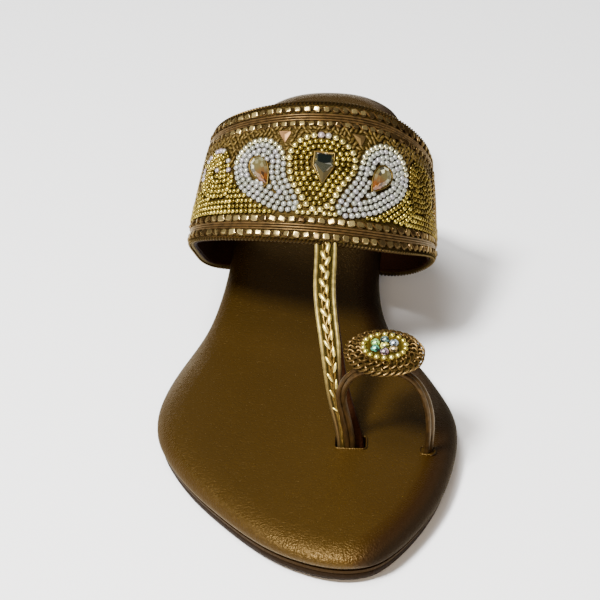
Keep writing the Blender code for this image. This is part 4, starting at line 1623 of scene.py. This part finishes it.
def strap_tape():
    """Piping along the tape's edges, with the braid, the links and their bed between."""
    lateral, medial, side, facing = tape_edges()
    tubes("t_strap_piping", [(lateral, side)], TAPE_EDGE_RADIUS, PIPING, sides=14)
    tubes("t_strap_shaded_piping", [(medial, side)], TAPE_EDGE_RADIUS, SHADED_PIPING, sides=14)
    dense, rows = np.linspace(0, len(side) - 1, TAPE_STEPS), np.arange(len(side))

    def refined(values):
        return np.stack([np.interp(dense, rows, column) for column in values.T], axis=1)

    middle = refined((lateral + medial) / 2)
    half = np.interp(dense, rows, np.linalg.norm(medial - lateral, axis=1) / 2)
    side, facing = unit(refined(side)), unit(refined(facing))
    strap_braid(middle, side, facing, half)
    strap_links(middle, side, facing)
    wide = side * (half - BED_INSET)[:, None]
    bed = np.stack([middle + wide * way + facing * lift for way, lift in BED_CORNERS], axis=1)
    loft("t_strap_tape", bed[::BED_STEP], TAPE_BED)


def strap_braid(middle, side, facing, half):
    """Three strands that cross under the links, narrower where the tape is."""
    turns = path_lengths(middle) / BRAID_PITCH
    room = np.clip((half - TAPE_EDGE_RADIUS) / BRAID_ROOM, BRAID_LEAST, 1.0)[:, None]
    lines = []
    for strand in range(3):
        phase = 2 * PI * (turns + strand / 3)[:, None]
        swing = side * np.sin(phase) * BRAID_HALF * room
        rise = facing * (BRAID_LIFT + BRAID_RISE * np.cos(2 * phase))
        lines.append((middle + swing + rise, facing))
    tubes("t_strap_braid", lines, BRAID_RADIUS, BRONZE_WIRE)


def strap_links(middle, side, facing):
    """Two columns of leaf-shaped links, smaller towards the sole."""
    lengths, height = path_lengths(middle), middle[:, 2]
    spots, *shapes = zip(*LINKS)
    places, axes, sizes = [], [], []
    for way, lean, first in LINK_COLUMNS:
        along = np.arange(first * LINK_PITCH, lengths[-1], LINK_PITCH)
        k = np.searchsorted(lengths, along).clip(0, len(middle) - 1)
        k = k[height[k] > spots[0]]
        offset, long, wide = (np.interp(height[k], spots, values) for values in shapes)
        places.append(middle[k] + side[k] * way * offset[:, None] + facing[k] * LINK_LIFT)
        run = unit(np.cross(side[k], facing[k]))
        down = run * np.sign(np.sum(run * (middle[-1] - middle[0]), axis=1))[:, None]
        leaf = unit(turned(down, side[k], math.radians(lean)))
        axes.append(np.stack([leaf, unit(np.cross(facing[k], leaf)), facing[k]], axis=1))
        sizes.append(np.stack([long, wide, wide * LINK_RISE], axis=1))
    places, axes, sizes = np.vstack(places), tilted(np.vstack(axes), LINK_TILT), np.vstack(sizes)
    scatter("t_strap_links", BEAD, places, axes, sizes, BRAID)


# ---------------------------------------------------------------- toe loop

LOOP_STEPS = 121
LOOP_SLIM = 0.96
LOOP_TURN_POWER = 6


def toe_loop():
    """Two cords side by side, that turn flat under the ornament."""
    fractions = np.linspace(0.0, 1.0, LOOP_STEPS)
    line = spline(TOE_LOOP, fractions)
    forward, in_plane = path_axes(line, (1.0, 0.0, 0.0))
    end_turn = np.where(fractions > 0.5, math.radians(MEDIAL_TURN), 0.0)
    turn = end_turn + (PI / 2 - end_turn) * np.sin(PI * fractions) ** LOOP_TURN_POWER
    side = turned(in_plane, forward, turn)
    cords = [(line + side * CORD_SPACING * way, side) for way in (1.0, -1.0)]
    made = tubes("toe_loop_cords", cords, CORD_RADIUS * LOOP_SLIM, CORD, sides=14)
    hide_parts("toe_loop")


# ---------------------------------------------------------------- ornament

ORNAMENT_DOME = (
    # radius, height above its underside
    (10.9, 0.15), (11.1, 0.6), (9.6, 1.5), (7.4, 2.1), (4.6, 2.45), (1.0, 2.6),
)
ORNAMENT_SEAT = (
    # radius, height above its underside
    (6.9, 2.0), (6.6, 2.6), (3.0, 2.75),
)
COIL_RINGS = (
    # radius, height above the underside, coil radius, turns, lean in degrees
    (10.6, 0.75, 1.05, 33, 48.0),
    (9.8, 1.35, 1.0, 27, -50.0),
    (8.6, 1.85, 1.1, 23, 46.0),
    (7.5, 2.3, 0.7, 25, -40.0),
)
COIL_WIRE = 0.26
COIL_STRAY = 0.22
COIL_WAVES = (3.0, 7.0)  # waves of the stray round the ornament
COIL_FLAT = 0.8  # height of a coil against its width
COIL_TURN_STEPS = 10
ORNAMENT_CORNERS = 48
ORNAMENT_BEADS = 18
ORNAMENT_BEAD_HEIGHT = 3.0
ORNAMENT_BEAD_TILT = 4.0
ORNAMENT_BEAD_RING = 6.15
ORNAMENT_BEAD_RADIUS = 0.86


def ornament_point(radius, angle, height):
    """A point about the ornament's upright axis, measured from its underside."""
    u = ORNAMENT_U + radius * np.cos(angle)
    v = ORNAMENT_V + radius * np.sin(angle)
    return np.stack(np.broadcast_arrays(u, v, ORNAMENT_UNDER + np.asarray(height)), axis=-1)


def ornament():
    around = 2 * PI * np.arange(ORNAMENT_CORNERS) / ORNAMENT_CORNERS
    dome, seat = (
        [ornament_point(radius, around, height) for radius, height in profile]
        for profile in (ORNAMENT_DOME, ORNAMENT_SEAT)
    )
    made = loft("ornament_dome", dome, GROUND)
    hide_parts("ornament")
    loft("ornament_seat", seat, GOLD_SEAT)
    ornament_coils()
    angle = 2 * PI * np.arange(ORNAMENT_BEADS) / ORNAMENT_BEADS
    places = ornament_point(ORNAMENT_BEAD_RING, angle, ORNAMENT_BEAD_HEIGHT)
    axes = tilted(np.broadcast_to(np.eye(3), (len(places), 3, 3)), ORNAMENT_BEAD_TILT)
    scatter("ornament_beads", BEAD, places, axes, ORNAMENT_BEAD_RADIUS, BRIGHT_GOLD)


def ornament_coils():
    """Rings of coiled wire that lean in turns and wander a little."""
    lines, (slow, fast) = [], COIL_WAVES
    for radius, height, coil, turns, lean in COIL_RINGS:
        angle = np.linspace(0.0, 2 * PI, turns * COIL_TURN_STEPS + 1)
        wind = angle * turns
        stray = COIL_STRAY * np.sin(slow * angle + radius) * np.sin(fast * angle)
        out = radius + stray + coil * np.cos(wind)
        shift = math.tan(math.radians(lean)) * coil * np.sin(wind) / radius
        path = ornament_point(out, angle + shift, height + coil * np.sin(wind) * COIL_FLAT)
        lines.append((path, UP))
    tubes("ornament_coils", lines, COIL_WIRE, FILIGREE, sides=6)


STONE_HUES = (
    # named by where they lie: middle, then from the toe side round by the big-toe side
    ("middle", (0.62, 0.58, 0.10)),
    ("toe", (0.34, 0.22, 0.27)),
    ("medial_toe", (0.40, 0.28, 0.10)),
    ("medial_heel", (0.42, 0.50, 0.56)),
    ("heel", (0.09, 0.17, 0.14)),
    ("lateral_heel", (0.30, 0.60, 0.16)),
    ("lateral_toe", (0.07, 0.33, 0.21)),
)
STONE_RINGS = (
    # share of the radius, height
    (0.92, 0.0), (1.0, 0.35), (0.82, 0.85), (0.45, 1.25),
)
STONE_CORNERS = 8


def stones():
    for number, (place, hue) in enumerate(STONE_HUES):
        angle = 2 * PI * (number - 1) / STONE_COUNT
        ring = STONE_RING if number else 0.0
        centre = ornament_point(ring, angle, STONE_SEAT - ORNAMENT_UNDER)
        stack = []
        for row, (share, height) in enumerate(STONE_RINGS):
            around = 2 * PI * (np.arange(STONE_CORNERS) + 0.5 * (row % 2)) / STONE_CORNERS
            reach = STONE_RADIUS * share
            corners = [reach * np.cos(around), reach * np.sin(around), np.full(STONE_CORNERS, height)]
            stack.append(centre + np.stack(corners, axis=-1))
        look = stone_glass(f"stone_{place}", hue)
        made = facet_body(f"stone_{place}", stack, look)
        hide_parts(f"stone_{number}")


# ---------------------------------------------------------------- stage

FLOOR_SIZE = 6.0
FLOOR_WHITE = (0.9, 0.9, 0.9)
FLOOR_ROUGHNESS = 0.75
FLOOR_ROUGH_RANGE = (0.7, 0.8)
FLOOR_PATCH_MM = 60.0
SKY = (0.93, 0.96, 1.0, 1.0)
SKY_STRENGTH = 0.27
LIGHTS = (
    # name, place, target, side, other side, power, colour
    ("key", (-0.45, -0.62, 1.05), (0.0, 0.0, 0.03), 0.24, 0.24, 49.0, (1.0, 1.0, 1.0)),
    ("fill", (0.05, -0.80, 0.42), (0.0, 0.0, 0.02), 0.35, 0.35, 4.0, (1.0, 0.76, 0.52)),
    ("overhead", (-0.3, -0.3, 1.3), (0.0, 0.0, 0.03), 0.6, 0.45, 18.0, (1.0, 1.0, 1.0)),
)
CAMERA_PLACE = (0.0271, -0.5817, 0.3775)
CAMERA_TARGET = (-0.0035, -0.0285, 0.0335)
CAMERA_LENS = 128.0
CAMERA_SENSOR = 36.0


def aimed(name, data, place, target):
    """An object at a place, turned to look at a target."""
    made = bpy.data.objects.new(name, data)
    made.location = place
    made.rotation_euler = (Vector(target) - Vector(place)).to_track_quat("-Z", "Y").to_euler()
    bpy.context.scene.collection.objects.link(made)
    return made


def camera():
    data = bpy.data.cameras.new("camera")
    data.lens = CAMERA_LENS
    data.sensor_width = CAMERA_SENSOR
    bpy.context.scene.camera = aimed("camera", data, CAMERA_PLACE, CAMERA_TARGET)


def stage():
    look = Shading("pale_floor", FLOOR_WHITE, FLOOR_ROUGHNESS)
    look.rough(look.remap(look.noise(FLOOR_PATCH_MM), end=FLOOR_ROUGH_RANGE))
    bpy.ops.mesh.primitive_plane_add(size=FLOOR_SIZE)
    floor = bpy.context.object
    floor.name = "floor"
    floor.data.materials.append(look.material)
    world = bpy.data.worlds.new("studio")
    world.use_nodes = True
    world.node_tree.nodes["Background"].inputs["Color"].default_value = SKY
    world.node_tree.nodes["Background"].inputs["Strength"].default_value = SKY_STRENGTH
    bpy.context.scene.world = world


def studio_lights():
    for name, place, target, width, height, power, color in LIGHTS:
        light = bpy.data.lights.new(name, "AREA")
        light.shape = "RECTANGLE"
        light.size = width
        light.size_y = height
        light.energy = power
        light.color = color
        aimed(name, light, place, target)


camera()
stage()
studio_lights()
footbed()
slot_lips()
wedge()
outsole()
band_shell()
band_edges()
gimp_rows()
couched_cords()
centre_figure()
paisleys()
outer_figures()
fill_rows()
ground_bugles()
side_columns()
triangle_studs()
kite_crystal()
drop_crystals()
bezels()
t_strap()
strap_tape()
toe_loop()
ornament()
stones()
